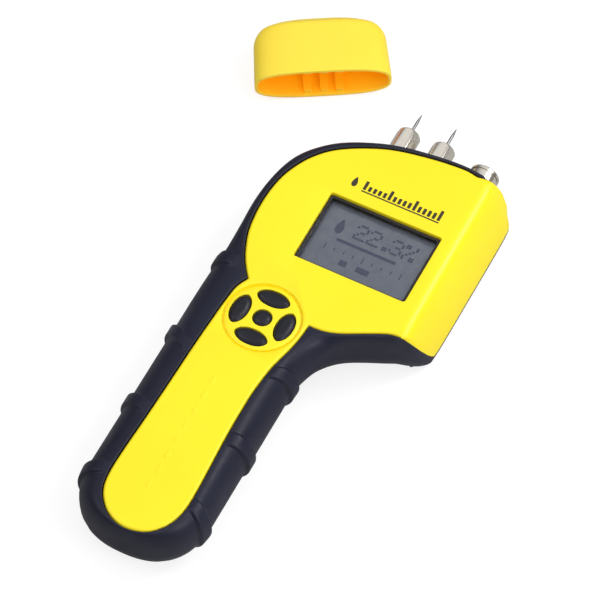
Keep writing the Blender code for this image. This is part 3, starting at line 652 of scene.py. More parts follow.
def grip_ys(top):
    """Sample heights along the grip, close together where a rib rises and falls."""
    last = END_Y - END_LENGTH
    ys = list(np.arange(END_Y, last, -1.6)) + list(np.arange(END_Y, top, 3.2))
    for centre in RIB_YS:
        for step in np.linspace(RIB_FLAT - 0.1, RIB_HALF + 0.1, 8):
            ys += [centre - step, centre + step]
    kept = []
    for y in sorted(y for y in ys if last + 4.0 < y < top - 1.0):
        if not kept or y - kept[-1] > 0.12:
            kept.append(y)
    return kept


def grip_side(side, top):
    """Rows of one side of the grip from just beside its tip up to the neck."""
    rows = []
    for angle in np.linspace(2.0, 30.0, 12):
        reach = math.cos(math.radians(angle)) ** (2.0 / END_POWER)
        if END_Y - END_LENGTH * reach < END_Y - END_LENGTH + 4.0:
            rows.append(end_row(side, reach))
    for y in grip_ys(top):
        if y < END_Y:
            rows.append(end_row(side, (END_Y - y) / END_LENGTH))
        else:
            swell = 0.5 * max(0.0, (y - NECK_Y + 10.0) / 10.0) ** 2 if side > 0 else 0.0
            values = (GRIP_X + side * GRIP_HALF + swell, y, 0.0, 0.0, SHOULDER_Z, 2.0)
            rows.append(Row(values, -1, False))
    return rows


def head_rows():
    """Rows of the head: dense everywhere, densest where the left rib rises and falls."""
    steps = 40
    fine = smooth(HEAD_ROWS, steps)
    rows = []
    last = None
    for i, values in enumerate(fine):
        near_rib = values[0] < GRIP_X and abs(abs(values[1] - RIB_YS[0]) - RIB_HALF) < 1.0
        limit = 0.25 if near_rib else 1.5
        if last is None or np.linalg.norm(values[:2] - last) >= limit or i == len(fine) - 1:
            rows.append(Row(values, i / steps))
            last = values[:2]
    return rows


def fit_edges(rows, edge):
    """Give each row its partner on the yellow edge, by equal share of length."""
    fronts = [row.face if row.head else row.base for row in rows]
    spots = lengths(np.array(fronts))
    for row, point in zip(rows, along(edge, spots)):
        row.edge = point


def part(points, low, high):
    """The stretch of a polyline whose y lies between low and high."""
    return np.array([p for p in points if low - 1e-6 <= p[1] <= high + 1e-6])


def all_rows():
    """Every row, anticlockwise from the tip of the grip."""
    strip = smooth(STRIP_EDGE, 60)
    tip = int(np.argmin(strip[:, 1]))
    right_edge = strip[:tip + 1][::-1]
    left_edge = strip[tip:]
    right = grip_side(1, NECK_Y)
    left = grip_side(-1, TOP_Y)[::-1]
    head = head_rows()
    tip_row = end_row(1, 1.0)
    ends = [tip_row] + [row for row in right if row.base[1] < END_Y]
    fit_edges(ends, part(right_edge, -200.0, END_Y))
    straight = [row for row in right if row.base[1] >= END_Y] + [head[0]]
    fit_edges(straight, part(right_edge, END_Y, NECK_Y))
    neck = [row for row in head if row.number <= NOTCH_RIGHT_ROW]
    fit_edges(neck, part(right_edge, NECK_Y, 0.0))
    lower = [row for row in head if NOTCH_RIGHT_ROW <= row.number <= SIDE_FIRST_ROW]
    fit_edges(lower, smooth(BOTTOM_EDGE, 40)[::-1])
    upper = [row for row in head if SIDE_LAST_ROW <= row.number <= NOTCH_LEFT_ROW]
    fit_edges(upper, smooth(LOBE_EDGE, 60)[::-1])
    joint = [row for row in head if row.number >= NOTCH_LEFT_ROW]
    fit_edges(joint, part(left_edge, TOP_Y, 0.0)[::-1])
    straight = [head[-1]] + [row for row in left if row.base[1] >= END_Y]
    fit_edges(straight, part(left_edge, END_Y, TOP_Y)[::-1])
    ends = [row for row in left if row.base[1] < END_Y] + [tip_row]
    fit_edges(ends, part(left_edge, -200.0, END_Y)[::-1])
    rows = [tip_row] + right + head + left
    for i, row in enumerate(rows):
        back = row.base - rows[i - 1].base
        ahead = rows[(i + 1) % len(rows)].base - row.base
        way = back / np.linalg.norm(back) * np.linalg.norm(ahead)
        way = way + ahead / np.linalg.norm(ahead) * np.linalg.norm(back)
        way /= np.linalg.norm(way)
        row.out = np.array([way[1], -way[0]])
        u = row.number
        if u >= 0:
            row.side = float(ease(u, 5.6, 6.0) * (1.0 - ease(u, 12.1, 12.5)))
        if SIDE_FIRST_ROW < u < SIDE_LAST_ROW:
            row.edge = row.face - row.out * 0.9 * ease(u, 11.4, SIDE_LAST_ROW)
        short = FACE_MARGIN - float(np.dot(row.face - row.edge, row.out))
        if not row.head:
            row.face = row.edge + row.out * FACE_MARGIN
        elif row.side == 0.0 and short > 0.0:
            row.face = row.face + row.out * short
    return rows


def belly(x, y):
    start, length = (-32.0, 11.0) if x > 28.0 else (-20.0, 35.0)
    blend = min(1.0, max(0.0, (y - start) / length))
    return GRIP_BELLY + (HEAD_BELLY - GRIP_BELLY) * blend


def surface(row, angle, proud=True):
    """Point of the shoulder at an angle: 0 at its foot, 90 on the face edge."""
    a = math.radians(angle)
    near = max(math.cos(a), 0.0) ** (2.0 / row.power)
    up = math.sin(a) ** (2.0 / row.power)
    rib = rib_height(row.base) if proud and angle < 89.0 else 0.0
    plan = row.face + (row.base - row.face) * near + row.out * rib * math.cos(a)
    return np.array([*plan, row.rise + (FACE_Z - row.rise) * up + rib * math.sin(a) * near ** 0.5])


def on_side_wall(point):
    """Whether a point of the outside belongs to the yellow side wall."""
    up = min(1.0, max(0.0, (point[2] - SEAM_Z) / (FACE_Z - SEAM_Z)))
    near = (1.0 - up ** SIDE_POWER) ** (1.0 / SIDE_POWER)
    lowest_x = SIDE_TOP_X + SIDE_LEAN * near - 2.0 * WALL
    lowest_y = SIDE_FOOT_Y - SIDE_SLANT * up ** SIDE_BEND
    return point[0] >= lowest_x and point[1] >= lowest_y


def seam_height(row):
    """Height of the line between yellow and black on a row of the side wall."""
    last = FACE_Z
    for angle in np.linspace(90.0, 0.0, 181):
        point = surface(row, angle, False)
        if not on_side_wall(point):
            return min(last, FACE_Z - 0.4)
        last = point[2]
    for z in np.arange(row.rise, SEAM_Z, -0.1):
        if not on_side_wall(np.array([*row.base, z])):
            return z
    return SEAM_Z


def side_path(row, stop):
    """Points down the outside from the face edge to height stop."""
    points = []
    for angle in np.linspace(90.0, 0.0, 40):
        point = surface(row, angle, False)
        if point[2] < stop:
            break
        points.append(point)
    if row.rise > stop:
        points.append(np.array([*row.base, stop]))
    else:
        points.append(np.array([*points[-1][:2], stop]))
    return np.array(points)


def lift(plan, z):
    return np.array([plan[0], plan[1], z])


def soft_ridge(row, path, reach=3.8):
    """The path down the side wall, started further in and eased over the ridge."""
    share = min(1.0, (FACE_Z - path[-1][2]) / 12.0)
    reach = 0.3 + (reach - 0.3) * share
    path = np.concatenate([[lift(row.face - row.out * reach, FACE_Z)], path])
    total = float(np.sum(np.linalg.norm(np.diff(path, axis=0), axis=1)))
    dense = along(path, np.linspace(0.0, 1.0, 160))
    step = total / 159
    result = []
    for i in range(160):
        half = int(min(2.6, i * step, (159 - i) * step) / step)
        result.append(dense[i - half:i + half + 1].mean(axis=0))
    return np.array(result)


def skin(name, columns, mat):
    """A closed shell from one column of points per row."""
    return loft(name, [np.array(ring) for ring in zip(*columns)], mat)


def front_shell(rows):
    """The yellow front: flat face, soft edge, side wall, inner skin."""
    spots = np.linspace(0.0, 1.0, 18) ** 1.25
    columns = []
    for row in rows:
        inward = -row.out
        groove_side = [lift(row.edge + inward * FRONT_ROUND * (1 - math.sin(a)),
                            FACE_Z - FRONT_ROUND * (1 - math.cos(a)))
                       for a in np.linspace(0.0, math.pi / 2, 12)]
        groove_side.append(lift(row.edge, PLATE_Z))
        outer = along(groove_side, spots)
        if row.side > 0.0:
            wall = along(soft_ridge(row, side_path(row, seam_height(row))), spots)
            outer = outer * (1 - row.side) + wall * row.side
        foot = outer[-1]
        plate = row.edge + inward * PLATE_MARGIN
        inside = row.base + inward * (WALL + 0.2)
        thick = row.side
        under = lift(foot[:2] + inward * 0.25, foot[2] - 0.12)
        inner = [lift((plate * (1 - thick) + inside * thick), foot[2] - 0.12 + 0.02),
                 lift(plate * (1 - thick) + (row.face + inward * WALL) * thick, FACE_Z - 2.6)]
        columns.append(list(outer) + [under] + inner)
    return skin("front_shell", columns, YELLOW)


def rear_shell(rows):
    """The black rear: belly, ribbed sides, shoulders, rim groove and inner wall."""
    columns = []
    for row in rows:
        column = []
        radius = belly(*row.base)
        for degrees in np.linspace(0.0, 90.0, 12):
            a = math.radians(degrees)
            inset = radius * (1.0 - math.sin(a)) - rib_height(row.base) * math.sin(a) ** 2
            column.append(lift(row.base - row.out * inset, radius * (1.0 - math.cos(a))))
        plain = [surface(row, angle) for angle in np.linspace(0.0, 90.0, 16)]
        rim = row.edge + row.out * GROOVE
        plain += [lift(rim + row.out * 0.22, FACE_Z), lift(rim + row.out * 0.05, FACE_Z - 0.1),
                  lift(rim, FACE_Z - 0.3), lift(rim, PLATE_Z - 0.4),
                  lift(row.edge - row.out * 1.6, PLATE_Z - 0.4)]
        upper = np.array(plain)
        if row.side > 0.0:
            top = max(seam_height(row) - 0.35, radius + 0.05)
            whole = along(rising(row, radius, top), np.linspace(0.0, 1.0, 16))
            lip = [whole[-1] - np.array([*row.out, 0.0]) * d + np.array([0, 0, z])
                   for d, z in ((0.1, 0.03), (0.3, 0.05), (0.8, 0.05), (1.4, 0.05), (2.0, 0.05))]
            wall = np.concatenate([whole, lip])
            upper = upper * (1 - row.side) + wall * row.side
        column += list(upper)
        inner = row.base - row.out * (WALL + 0.1)
        mouth = upper[-1]
        knee = max(radius - WALL, 0.6)
        ledge = min(mouth[2] - 0.25, row.rise * (1 - row.side) + row.side * 3.4)
        floor_in = row.base - row.out * (WALL + knee)
        column += [lift(inner, ledge), lift(inner, min(WALL + knee, ledge - 0.1)),
                   lift(floor_in, WALL)]
        columns.append(column)
    return skin("rear_shell", columns, GRIP)


def rising(row, low, top):
    """Points up the outside from the belly to height top."""
    down = side_path(row, top)
    cut = down[-1]
    if row.rise > top:
        return np.array([[*row.base, low], cut])
    climb = [surface(row, angle, False) for angle in np.linspace(0.0, 90.0, 40)]
    climb = [p for p in climb if p[2] < top]
    return np.array([[*row.base, low]] + climb + [cut])


def slit(name, outline, low, high, flare=0.35):
    """A cutter through a plate whose top edge it rounds off as it leaves the surface."""
    centre = outline.mean(axis=0)
    rings = [at(outline, low)]
    for angle in np.linspace(0.0, 90.0, 5):
        a = math.radians(angle)
        top = high - flare * (1.0 - math.sin(a))
        rings.append(at(grown(outline, flare * (1.0 - math.cos(a)), centre), top))
    rings.append(at(grown(outline, flare, centre), high + 1.0))
    return loft(name, rings)


def grown(outline, distance, centre):
    """An outline moved outwards along its own normals."""
    back = outline - np.roll(outline, 1, axis=0)
    ahead = np.roll(outline, -1, axis=0) - outline
    way = back / np.linalg.norm(back, axis=1)[:, None] + ahead / np.linalg.norm(ahead, axis=1)[:, None]
    way /= np.linalg.norm(way, axis=1)[:, None]
    out = np.stack([way[:, 1], -way[:, 0]], 1)
    if np.mean(np.sum(out * (outline - centre), axis=1)) < 0:
        out = -out
    return outline + out * distance


# ---- keypad ----

PAD_RADIUS = 14.5
KEY_CLEARANCE = 0.35


def leaf(node, grow=0.0, steps=72):
    """Leaf-shaped outline of an arrow key, from the size of its CAD foot."""
    low, high = span(node)
    foot = 0.7
    size = (high - low)[:2] / 2 - foot + grow
    centre = (low + high)[:2] / 2
    long_axis = int(size[1] > size[0])
    angles = turn(steps)
    powers = (1.18, 0.92) if long_axis else (0.92, 1.18)
    u, v = squared(angles, *powers)
    return np.stack([centre[0] + size[0] * u, centre[1] + size[1] * v], 1)


def key_outline(node, grow=0.0):
    if node == "key_enter":
        low, high = span(node)
        radius = (high - low)[0] / 2 - 1.0
        return circle(PAD[0], PAD[1], radius + grow, 72)
    return leaf(node, grow - 0.2)


KEYS = ("key_up", "key_down", "key_left", "key_right", "key_enter")


def keys():
    """Rubber keys: a foot under the plate, a soft shoulder and a domed top."""
    for node in KEYS:
        low, high = span(node)
        foot, top = low[2], high[2]
        rings = [at(key_outline(node, 0.6), foot), at(key_outline(node, 0.7), foot + 0.15),
                 at(key_outline(node, 0.7), foot + 1.1), at(key_outline(node, 0.6), foot + 1.2),
                 at(key_outline(node, 0.15), foot + 1.3), at(key_outline(node), foot + 1.6),
                 at(key_outline(node), top - 1.1)]
        reach = 2.6
        for t in np.linspace(0.04, 0.93, 14):
            rings.append(at(key_outline(node, -reach * t), top - 1.1 * (1.0 - t) ** 2.4))
        obj = loft(node + "_cap", rings, KEY, angle=50.0)
        settle(obj, node, node)


# ---- housings ----

def pad_groove():
    """Rounded ring groove round the keypad, with a gently crowned disc inside it."""
    r = PAD_RADIUS
    profile = ((r + 1.25, FACE_Z + 0.6), (r + 1.15, FACE_Z + 0.02), (r + 0.98, FACE_Z - 0.08),
               (r + 0.88, FACE_Z - 0.3), (r + 0.82, FACE_Z - 1.1), (r + 0.6, FACE_Z - 1.4),
               (r + 0.2, FACE_Z - 1.4), (r - 0.02, FACE_Z - 1.1), (r - 0.12, FACE_Z - 0.5),
               (r - 0.4, FACE_Z - 0.3), (r - 1.1, FACE_Z - 0.2), (r - 2.4, FACE_Z - 0.1),
               (r - 3.9, FACE_Z - 0.03), (r - 5.4, FACE_Z + 0.005), (r - 5.4, FACE_Z + 0.6))
    return turned("groove", profile, (PAD[0], PAD[1], 0.0), "Z", None, 144, True)


def droplet(cx, cy, size, steps=28):
    """Outline of a drop that points to +Y."""
    angles = turn(steps)
    x = size * 0.62 * np.sin(angles) * np.sin(angles / 2) ** 1.1
    y = size * np.cos(angles)
    return np.stack([cx + x, cy + y], 1)


def embossed_row():
    """A column of small raised drops along the grip's strip."""
    low, high = span("battery_9v")
    x = (low[0] + high[0]) / 2 + 1.2
    marks = []
    for i in range(8):
        y = high[1] + 4.0 - i * 7.2
        outline = droplet(x, y, 2.1)
        rings = [at(outline, FACE_Z - 0.6), at(outline, FACE_Z + 0.06)]
        rings.append(at(grown(outline, -0.18, outline.mean(axis=0)), FACE_Z + 0.2))
        marks.append(loft("drop", rings, YELLOW, angle=60.0))
    return merge("embossed_row", marks)


def front_cover(rows):
    obj = front_shell(rows)
    low, high = span("display_bezel")
    size = (high - low)[:2] + 0.6
    opening = rounded_rectangle(WINDOW_MIDDLE[0], WINDOW_MIDDLE[1], size[0], size[1], 1.0)
    combine(obj, slit("opening", opening, FACE_Z - 8.0, FACE_Z, 0.3), "DIFFERENCE")
    combine(obj, pad_groove(), "DIFFERENCE")
    for node in KEYS:
        hole = key_outline(node, KEY_CLEARANCE)
        combine(obj, slit(node + "_hole", hole, FACE_Z - 8.0, FACE_Z - 0.02, 0.25), "DIFFERENCE")
    combine(obj, embossed_row(), "UNION")
    settle(obj, "meter", "front_housing")


def door_outline(gap, radius):
    """The door's plan, run off the end of the grip."""
    low, high = span("battery_door")
    return rounded_rectangle((low[0] + high[0]) / 2, (high[1] - DOOR_REACH) / 2,
                             high[0] - low[0] + gap, high[1] + DOOR_REACH + gap, radius)


def rear_cover(rows):
    obj = rear_shell(rows)
    door_top = span("battery_door")[1][2]
    combine(obj, slit("door_slot", door_outline(0.6, 1.2), -3.0, door_top + 0.35, 0.02), "DIFFERENCE")
    for name in SCREWS:
        x, y, _ = middle(name)
        head = (span(name)[1] - span(name)[0])[0] / 2
        well = ((head + 0.75, -1.0), (head + 0.75, 0.0), (head + 0.45, 0.12), (head + 0.3, 0.4),
                (head + 0.3, 2.2), (1.6, 2.3), (1.6, 6.0))
        combine(obj, turned("well", well, (x, y, 0.0), "Z", None, 48), "DIFFERENCE")
    for node, radius in (("pin_nut_left", 3.6), ("pin_nut_right", 3.6), ("socket_shell", 5.3)):
        centre = (middle(node)[0], 0.0, PIN_Z)
        hole = turned("hole", ((radius, 38.0), (radius, 58.0)), centre, "Y", None, 48)
        combine(obj, hole, "DIFFERENCE")
    settle(obj, "meter", "rear_housing")


def battery_door(rows):
    """Curved door cut from the same skin as the back, with finger grooves."""
    low, high = span("battery_door")
    rings = []
    for degrees in np.linspace(0.0, 54.0, 12):
        a = math.radians(degrees)
        ring = []
        for row in rows:
            radius = belly(*row.base)
            ring.append(lift(row.base - row.out * radius * (1.0 - math.sin(a)),
                             radius * (1.0 - math.cos(a))))
        rings.append(np.array(ring))
    rings.append(rings[-1] + np.array([0.0, 0.0, 6.0]))
    obj = loft("battery_cover", rings, GRIP)
    outline = door_outline(0.0, 1.0)
    combine(obj, loft("space", [at(outline, -2.0), at(outline, high[2])]), "INTERSECT")
    for i in range(6):
        x, y = (low[0] + high[0]) / 2, high[1] - 10.0 - 2.4 * i
        profile = arc(0.0, -0.15, 0.6, 0.0, 180.0, 10)
        half = 8.0 - 0.35 * i
        bar = [np.array([[x + side * half, y + u, v] for u, v in profile]) for side in (-1, 1)]
        combine(obj, loft("finger_groove", bar), "DIFFERENCE")
    settle(obj, "battery_door", "battery_door")


# ---- display ----

def rectangle_frame(name, outer, inner, levels, mat):
    """A flat frame between two outlines, with its top edges eased by 0.15 mm."""
    low, high = levels
    ease_by = 0.15
    rings = [at(outer, low), at(outer, high - ease_by),
             at(grown(outer, -ease_by, outer.mean(axis=0)), high),
             at(grown(inner, ease_by, inner.mean(axis=0)), high), at(inner, high - ease_by), at(inner, low)]
    return loft(name, rings, mat, closed=True)


def bezel():
    low, high = span("display_bezel")
    cx, cy = (low + high)[:2] / 2
    outer = rounded_rectangle(cx, cy, *(high - low)[:2], 1.0)
    inner = rounded_rectangle(cx, cy - 0.2, (high - low)[0] - 2.0, (high - low)[1] - 1.8, 0.5)
    obj = rectangle_frame("bezel", outer, inner, (low[2], high[2]), BEZEL)
    settle(obj, "meter", "display_bezel")


def window():
    low, high = span("display_window")
    cx, cy = (low + high)[:2] / 2
    outline = rounded_rectangle(cx, cy, *(high - low)[:2], 0.8, 4)
    rings = [at(outline, low[2]), at(outline, high[2] - 0.1),
             at(grown(outline, -0.1, outline.mean(axis=0)), high[2])]
    obj = loft("window_sheet", rings, WINDOW)
    settle(obj, "meter", "display_window")


# 5 x 7 dot shapes, one string per row, for a plain reading
DOTS = {"2": (" ### ", "#   #", "    #", "  ## ", " #   ", "#    ", "#####"),
        "3": (" ### ", "#   #", "    #", "  ## ", "    #", "#   #", " ### "),
        ".": ("   ", "   ", "   ", "   ", "   ", " ##", " ##"),
        "%": ("##  #", "##  #", "   # ", "  #  ", " #   ", "#  ##", "#  ##")}
DOT = 1.04


def dots(shape, x, y):
    """Outlines of the square dots of one character whose lower left corner is at x, y."""
    squares = []
    for r, line in enumerate(shape):
        for c, mark in enumerate(line):
            if mark == "#":
                cx = x + (c + 0.5) * DOT
                cy = y + (len(shape) - r - 0.5) * DOT
                squares.append(rounded_rectangle(cx, cy, DOT * 0.93, DOT * 0.93, 0.08, 1))
    return squares


def flat_marks(name, outlines, bottom, top, mat):
    """Thin raised marks as one piece on the meter."""
    piece = merge(name, [loft("mark", [at(m, bottom), at(m, top)], mat) for m in outlines])
    settle(piece, "meter")


def reading():
    """The sample reading on the display, with a bar, a row of ticks and two blocks below it."""
    z = span("lcd_panel")[1][2]
    marks = [droplet(-14.6, 6.2, 3.6)]
    x = -8.6
    for letter in "22.3%":
        marks += dots(DOTS[letter], x, 3.2)
        x += (len(DOTS[letter][0]) + 0.45) * DOT
    marks.append(rounded_rectangle(-0.8, 0.2, 25.0, 1.35, 0.1, 1))
    for i in range(9):
        height = 1.6 + 1.2 * (i % 4 == 0)
        marks.append(rounded_rectangle(-16.0 + i * 4.0, -4.4, 0.5, height, 0.05, 1))
    for x, width in ((2.0, 5.4), (-6.2, 3.2)):
        marks.append(rounded_rectangle(x, -8.8, width, 2.6, 0.1, 1))
    flat_marks("reading", marks, z + 0.01, z + 0.06, LCD_INK)


def printed_scale():
    """Plain printed scale over the display: a drop, then bars that grow, and their base line."""
    base = span("display_bezel")[1][1] + 6.6
    marks = [droplet(-17.6, base + 2.0, 2.4)]
    for i in range(16):
        height = 2.3 + 1.9 * (i % 5 == 0) + 0.05 * i
        marks.append(rounded_rectangle(-13.0 + i * 2.1, base + height / 2, 1.25, height, 0.2, 2))
    marks.append(rounded_rectangle(2.75, base - 0.8, 33.0, 0.6, 0.25, 2))
    flat_marks("printed_scale", marks, FACE_Z - 0.02, FACE_Z + 0.035, INK)


# ---- pins and socket ----

def hexagon(x, z, flat, corner, y, steps=96):
    """Six-sided section with its corners cut back to a circle."""
    angles = turn(steps)
    local = (np.degrees(angles) + 360.0) % 60.0 - 30.0
    radius = np.minimum(flat / np.cos(np.radians(local)), corner)
    return np.stack([x + radius * np.cos(angles), np.full(steps, y), z + radius * np.sin(angles)], 1)


def nut(node):
    """Clamping nut: a collar, six flats, a chamfered far end and a stepped bore."""
    low, high = span(node)
    x, _, z = (low + high) / 2
    start, end = low[1], high[1]
    corner = (high - low)[2] / 2
    flat = corner * 0.9
    chamfer = [(start, 0.94), (start + 0.45, 1.0), (start + 1.5, 1.0), (start + 1.75, 0.9),
               (start + 2.05, 0.9), (start + 2.3, 1.0), (end - 1.9, 1.0), (end - 1.2, 0.93),
               (end - 0.5, 0.8), (end - 0.1, 0.69), (end, 0.65)]
    rings = []
    for y, k in chamfer:
        round_part = corner * k
        rings.append(hexagon(x, z, flat if k > 0.93 else max(flat, round_part), round_part, y))
    for y, r in ((end, 2.0), (end - 0.25, 1.75), (end - 3.0, 1.7), (end - 7.5, 1.6),
                 (end - 7.5, 3.6), (start, 3.6)):
        rings.append(hexagon(x, z, r, r, y))
    obj = loft(node + "_body", rings, NICKEL, closed=True, angle=28.0)
    settle(obj, "meter", node)


def needle(node):
    low, high = span(node)
    x, _, z = (low + high) / 2
    tip = high[1]
    profile = [(0.6, low[1]), (0.98, low[1] + 0.4), (0.98, tip - 12.0), (0.62, tip - 11.6)]
    for t in np.linspace(0.0, 1.0, 12):
        profile.append((0.54 * (1.0 - t) ** 0.7 + 0.08, tip - 4.0 + 4.0 * t))
    obj = turned(node + "_needle", profile, (x, 0.0, z), "Y", STEEL, 40)
    settle(obj, "meter", node)


SOCKET_START = 51.9      # where the barrel leaves the housing
SOCKET_FLOOR = 45.5      # bottom of its hollow mouth


def socket():
    """Round probe socket: collar, waist, ringed barrel and a hollow mouth."""
    low, high = span("socket_shell")
    x, _, z = (low + high) / 2
    start, end = SOCKET_START, high[1]
    r = (high - low)[0] / 2
    profile = [(5.0, low[1]), (5.0, start), (r - 0.2, start), (r, start + 0.2), (r, start + 1.9),
               (r - 0.2, start + 2.1), (r - 0.9, start + 2.3), (r - 0.9, start + 3.1),
               (r - 0.4, start + 3.4), (r - 0.4, end - 2.6), (r - 0.75, end - 2.4),
               (r - 0.75, end - 1.9), (r - 0.1, end - 1.6), (r - 0.1, end - 0.6),
               (r - 0.5, end), (4.9, end), (4.6, end - 0.3),
               (4.6, SOCKET_FLOOR), (2.6, SOCKET_FLOOR), (2.6, low[1])]
    obj = turned("socket_barrel", profile, (x, 0.0, z), "Y", NICKEL, 72, True, 28.0)
    settle(obj, "meter", "socket_shell")


# ---- cap ----

CAP_HALF = 27.2
CAP_DEPTH = 28.0
CAP_WALL = 1.5
CAP_BEND = 10.0          # length of the eased closed end
CAP_TAPER = 0.8
CAP_RIB_XS = (-6.0, 0.7, 6.8)


def cap_section(half, thick, y, thickness, steps=120, power=3.0):
    angles = turn(steps)
    u, v = squared(angles, 2.0 / power, 2.0 / power)
    return np.stack([half * u, np.full(steps, y), (thickness + thick * v) / 2], 1)


def cap():
    """Hollow pin cap with a rounded rim, eased closed end and three pairs of ribs."""
    low, high = span("pin_cap")
    thickness = high[2] - low[2]
    straight = CAP_DEPTH - CAP_BEND
    outer = [(CAP_HALF - CAP_TAPER * y / straight, thickness, y) for y in np.linspace(0.0, straight, 7)]
    for degrees in np.linspace(5.0, 88.0, 18):
        a = math.radians(degrees)
        thin = 6.0 * max(0.0, math.sin(a) - 0.6) / 0.4 * min(1.0, degrees / 60.0) ** 2
        outer.append((CAP_HALF - CAP_TAPER - CAP_BEND * (1.0 - math.cos(a)), thickness - thin,
                      straight + CAP_BEND * math.sin(a)))
    inner = [(h - CAP_WALL, t - 2 * CAP_WALL, min(y, CAP_DEPTH - CAP_WALL) if y > straight else y)
             for h, t, y in outer]
    mouth = CAP_HALF - CAP_WALL
    rim = [(mouth + 0.12, thickness - 2 * CAP_WALL + 0.24, 0.25),
           (mouth + 0.45, thickness - 2 * CAP_WALL + 0.9, 0.0),
           (CAP_HALF - 0.45, thickness - 0.9, 0.0), (CAP_HALF - 0.12, thickness - 0.24, 0.2)]
    stack = [r for r in inner[::-1] if r[2] >= 0.6] + rim + [r for r in outer if r[2] >= 0.6]
    rings = [cap_section(h, t, y, thickness) for h, t, y in stack]
    obj = loft("cap_shell", rings, CAP_YELLOW, angle=40.0)
    for x in CAP_RIB_XS:
        for z in (1.9, thickness - 1.9):
            outline = rounded_rectangle(x, 10.3, 3.2, 18.4, 0.7, 5)
            combine(obj, loft("rib", [at(outline, z - 1.1), at(outline, z + 1.1)]), "UNION")
    obj.data.transform(Matrix.Rotation(CAP_TURN, 4, "Z"))
    corner = np.array([v.co for v in obj.data.vertices]).min(axis=0)
    obj.data.transform(Matrix.Translation(Vector(low * MM) - Vector(corner)))
    settle(obj, "pin_cap", "pin_cap")


# ---- screws ----

def screw(node):
    """Domed screw head with a tapered cross recess, and its plain shank."""
    low, high = span(node)
    x, y, _ = (low + high) / 2
    head = (high - low)[0] / 2
    profile = [(head * 0.35, low[2]), (head * 0.7, low[2] + 0.06), (head * 0.9, low[2] + 0.22),
               (head, low[2] + 0.6), (head, 2.7), (1.4, 2.7), (1.4, high[2])]
    obj = turned(node + "_head", profile, (x, y, 0.0), "Z", SCREW_STEEL, 48)
    for size in ((3.2, 0.85), (0.85, 3.2)):
        mouth = rounded_rectangle(x, y, *size, 0.2, 3)
        deep = rounded_rectangle(x, y, size[0] * 0.6, size[1] * 0.6, 0.1, 3)
        combine(obj, loft("recess", [at(mouth, low[2] - 0.5), at(mouth, low[2] + 0.1),
                                     at(deep, low[2] + 1.5)]), "DIFFERENCE")
    settle(obj, "neck_screw" if node == "neck_screw" else "meter", node)


# ---- finishes of the CAD pieces that stay ----

FINISHES = ((LCD, ("lcd_panel",)), (BOARD, ("main_board",)), (SILICONE, ("keypad_mat",)),
            (BATTERY, ("battery_9v",)), (FOAM, ("battery_foam",)),
            (NYLON, ("lcd_backlight", "pin_block", "socket_insulator")),
            (BLACK, ("lcd_frame", "controller_chip", "buzzer", "battery_snap")),
            (SCREW_STEEL, ("board_screw_left", "board_screw_right", "socket_nut")),
            (BRASS, ("pin_holder_left", "pin_holder_right", "socket_contact")),
            (RED_WIRE, ("lead_red",)), (BLACK_WIRE, ("lead_black",)),
            (GREY_WIRE, ("pin_lead_left", "pin_lead_right", "socket_lead")))


def dress():
    for mat, nodes in FINISHES:
        for node in nodes:
            for material_slot in frame["nodes"][node].material_slots:
                material_slot.material = mat


ROWS = all_rows()
front_cover(ROWS)
rear_cover(ROWS)
battery_door(ROWS)
bezel()
window()
reading()
printed_scale()
keys()
for pin_side in ("left", "right"):
    nut("pin_nut_" + pin_side)
    needle("contact_pin_" + pin_side)
socket()
cap()
for screw_node in SCREWS:
    screw(screw_node)
dress()


# ---- floor, light, camera ----

def studio_world():
    """White room that darkens towards the horizon, so that metal has something to show."""
    world = bpy.data.worlds.new("studio")
    world.use_nodes = True
    tree = world.node_tree
    where = tree.nodes.new("ShaderNodeTexCoord").outputs["Generated"]
    parts = tree.nodes.new("ShaderNodeSeparateXYZ")
    ramp = tree.nodes.new("ShaderNodeMapRange")
    for name, value in (("From Min", 0.15), ("From Max", 0.85), ("To Min", 0.08), ("To Max", 0.85)):
        ramp.inputs[name].default_value = value
    tree.links.new(where, parts.inputs[0])
    tree.links.new(parts.outputs["Z"], ramp.inputs["Value"])
    tree.links.new(ramp.outputs["Result"], tree.nodes["Background"].inputs["Strength"])
    tree.nodes["Background"].inputs["Color"].default_value = (1.0, 1.0, 1.0, 1.0)
    bpy.context.scene.world = world


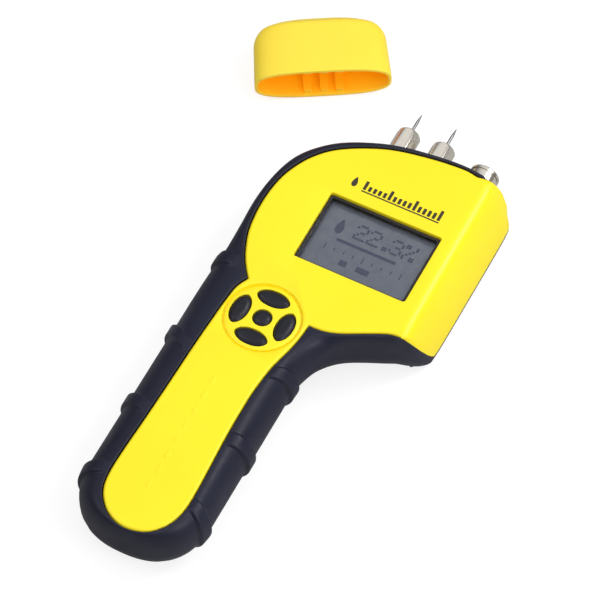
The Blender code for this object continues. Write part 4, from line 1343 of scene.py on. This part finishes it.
LAMPS = (("key_light", (-0.85, -0.4, 0.95), 0.6, 2.5),
         ("top_light", (0.15, -0.1, 1.3), 0.7, 0.7),
         ("side_light", (0.95, -0.25, 0.5), 0.5, 4.3),
         ("under_light", (0.3, -0.3, -1.1), 0.8, 3.0),
         ("ridge_light", (0.62, 0.58, 0.83), 0.45, 5.2))


def stage():
    bpy.ops.mesh.primitive_plane_add(size=8.0, location=(0.0, 0.0, -0.0002))
    floor = bpy.context.object
    floor.name = "floor"
    floor.data.materials.append(floor_paper())
    studio_world()
    aim = Vector((0.0, -0.03, 0.0))
    for name, place, size, power in LAMPS:
        light = bpy.data.lights.new(name, "AREA")
        light.size = size
        light.energy = power
        lamp = bpy.data.objects.new(name, light)
        lamp.location = place
        lamp.rotation_euler = (aim - Vector(place)).to_track_quat("-Z", "Y").to_euler()
        lamp.visible_camera = False
        bpy.context.scene.collection.objects.link(lamp)


CAMERA_AZIMUTH = 27.1
CAMERA_ELEVATION = 57.0
CAMERA_DISTANCE = 1.7442
CAMERA_LENS = 275.4
AIM_LEFT = 0.02573       # how far the aim lies left of the display's middle, in metres
AIM_DOWN = 0.0204        # and how far below it


def camera():
    """The photograph's view: high, from the lower right, through a long lens."""
    azimuth = math.radians(CAMERA_AZIMUTH)
    elevation = math.radians(CAMERA_ELEVATION)
    back = Vector((math.sin(azimuth) * math.cos(elevation),
                   -math.cos(azimuth) * math.cos(elevation), math.sin(elevation)))
    right = Vector((math.cos(azimuth), math.sin(azimuth), 0.0))
    up = back.cross(right)
    target = Vector((WINDOW_MIDDLE[0], WINDOW_MIDDLE[1], FACE_Z)) * MM
    aim = target - right * AIM_LEFT - up * AIM_DOWN
    data = bpy.data.cameras.new("camera")
    data.sensor_width = 36.0
    data.lens = CAMERA_LENS
    data.clip_start = 0.05
    data.clip_end = 50.0
    cam = bpy.data.objects.new("camera", data)
    cam.location = aim + back * CAMERA_DISTANCE
    cam.rotation_mode = "QUATERNION"
    cam.rotation_quaternion = Matrix((right, up, back)).transposed().to_quaternion()
    bpy.context.scene.collection.objects.link(cam)
    bpy.context.scene.camera = cam
    bpy.context.scene.view_settings.view_transform = "Standard"


stage()
camera()
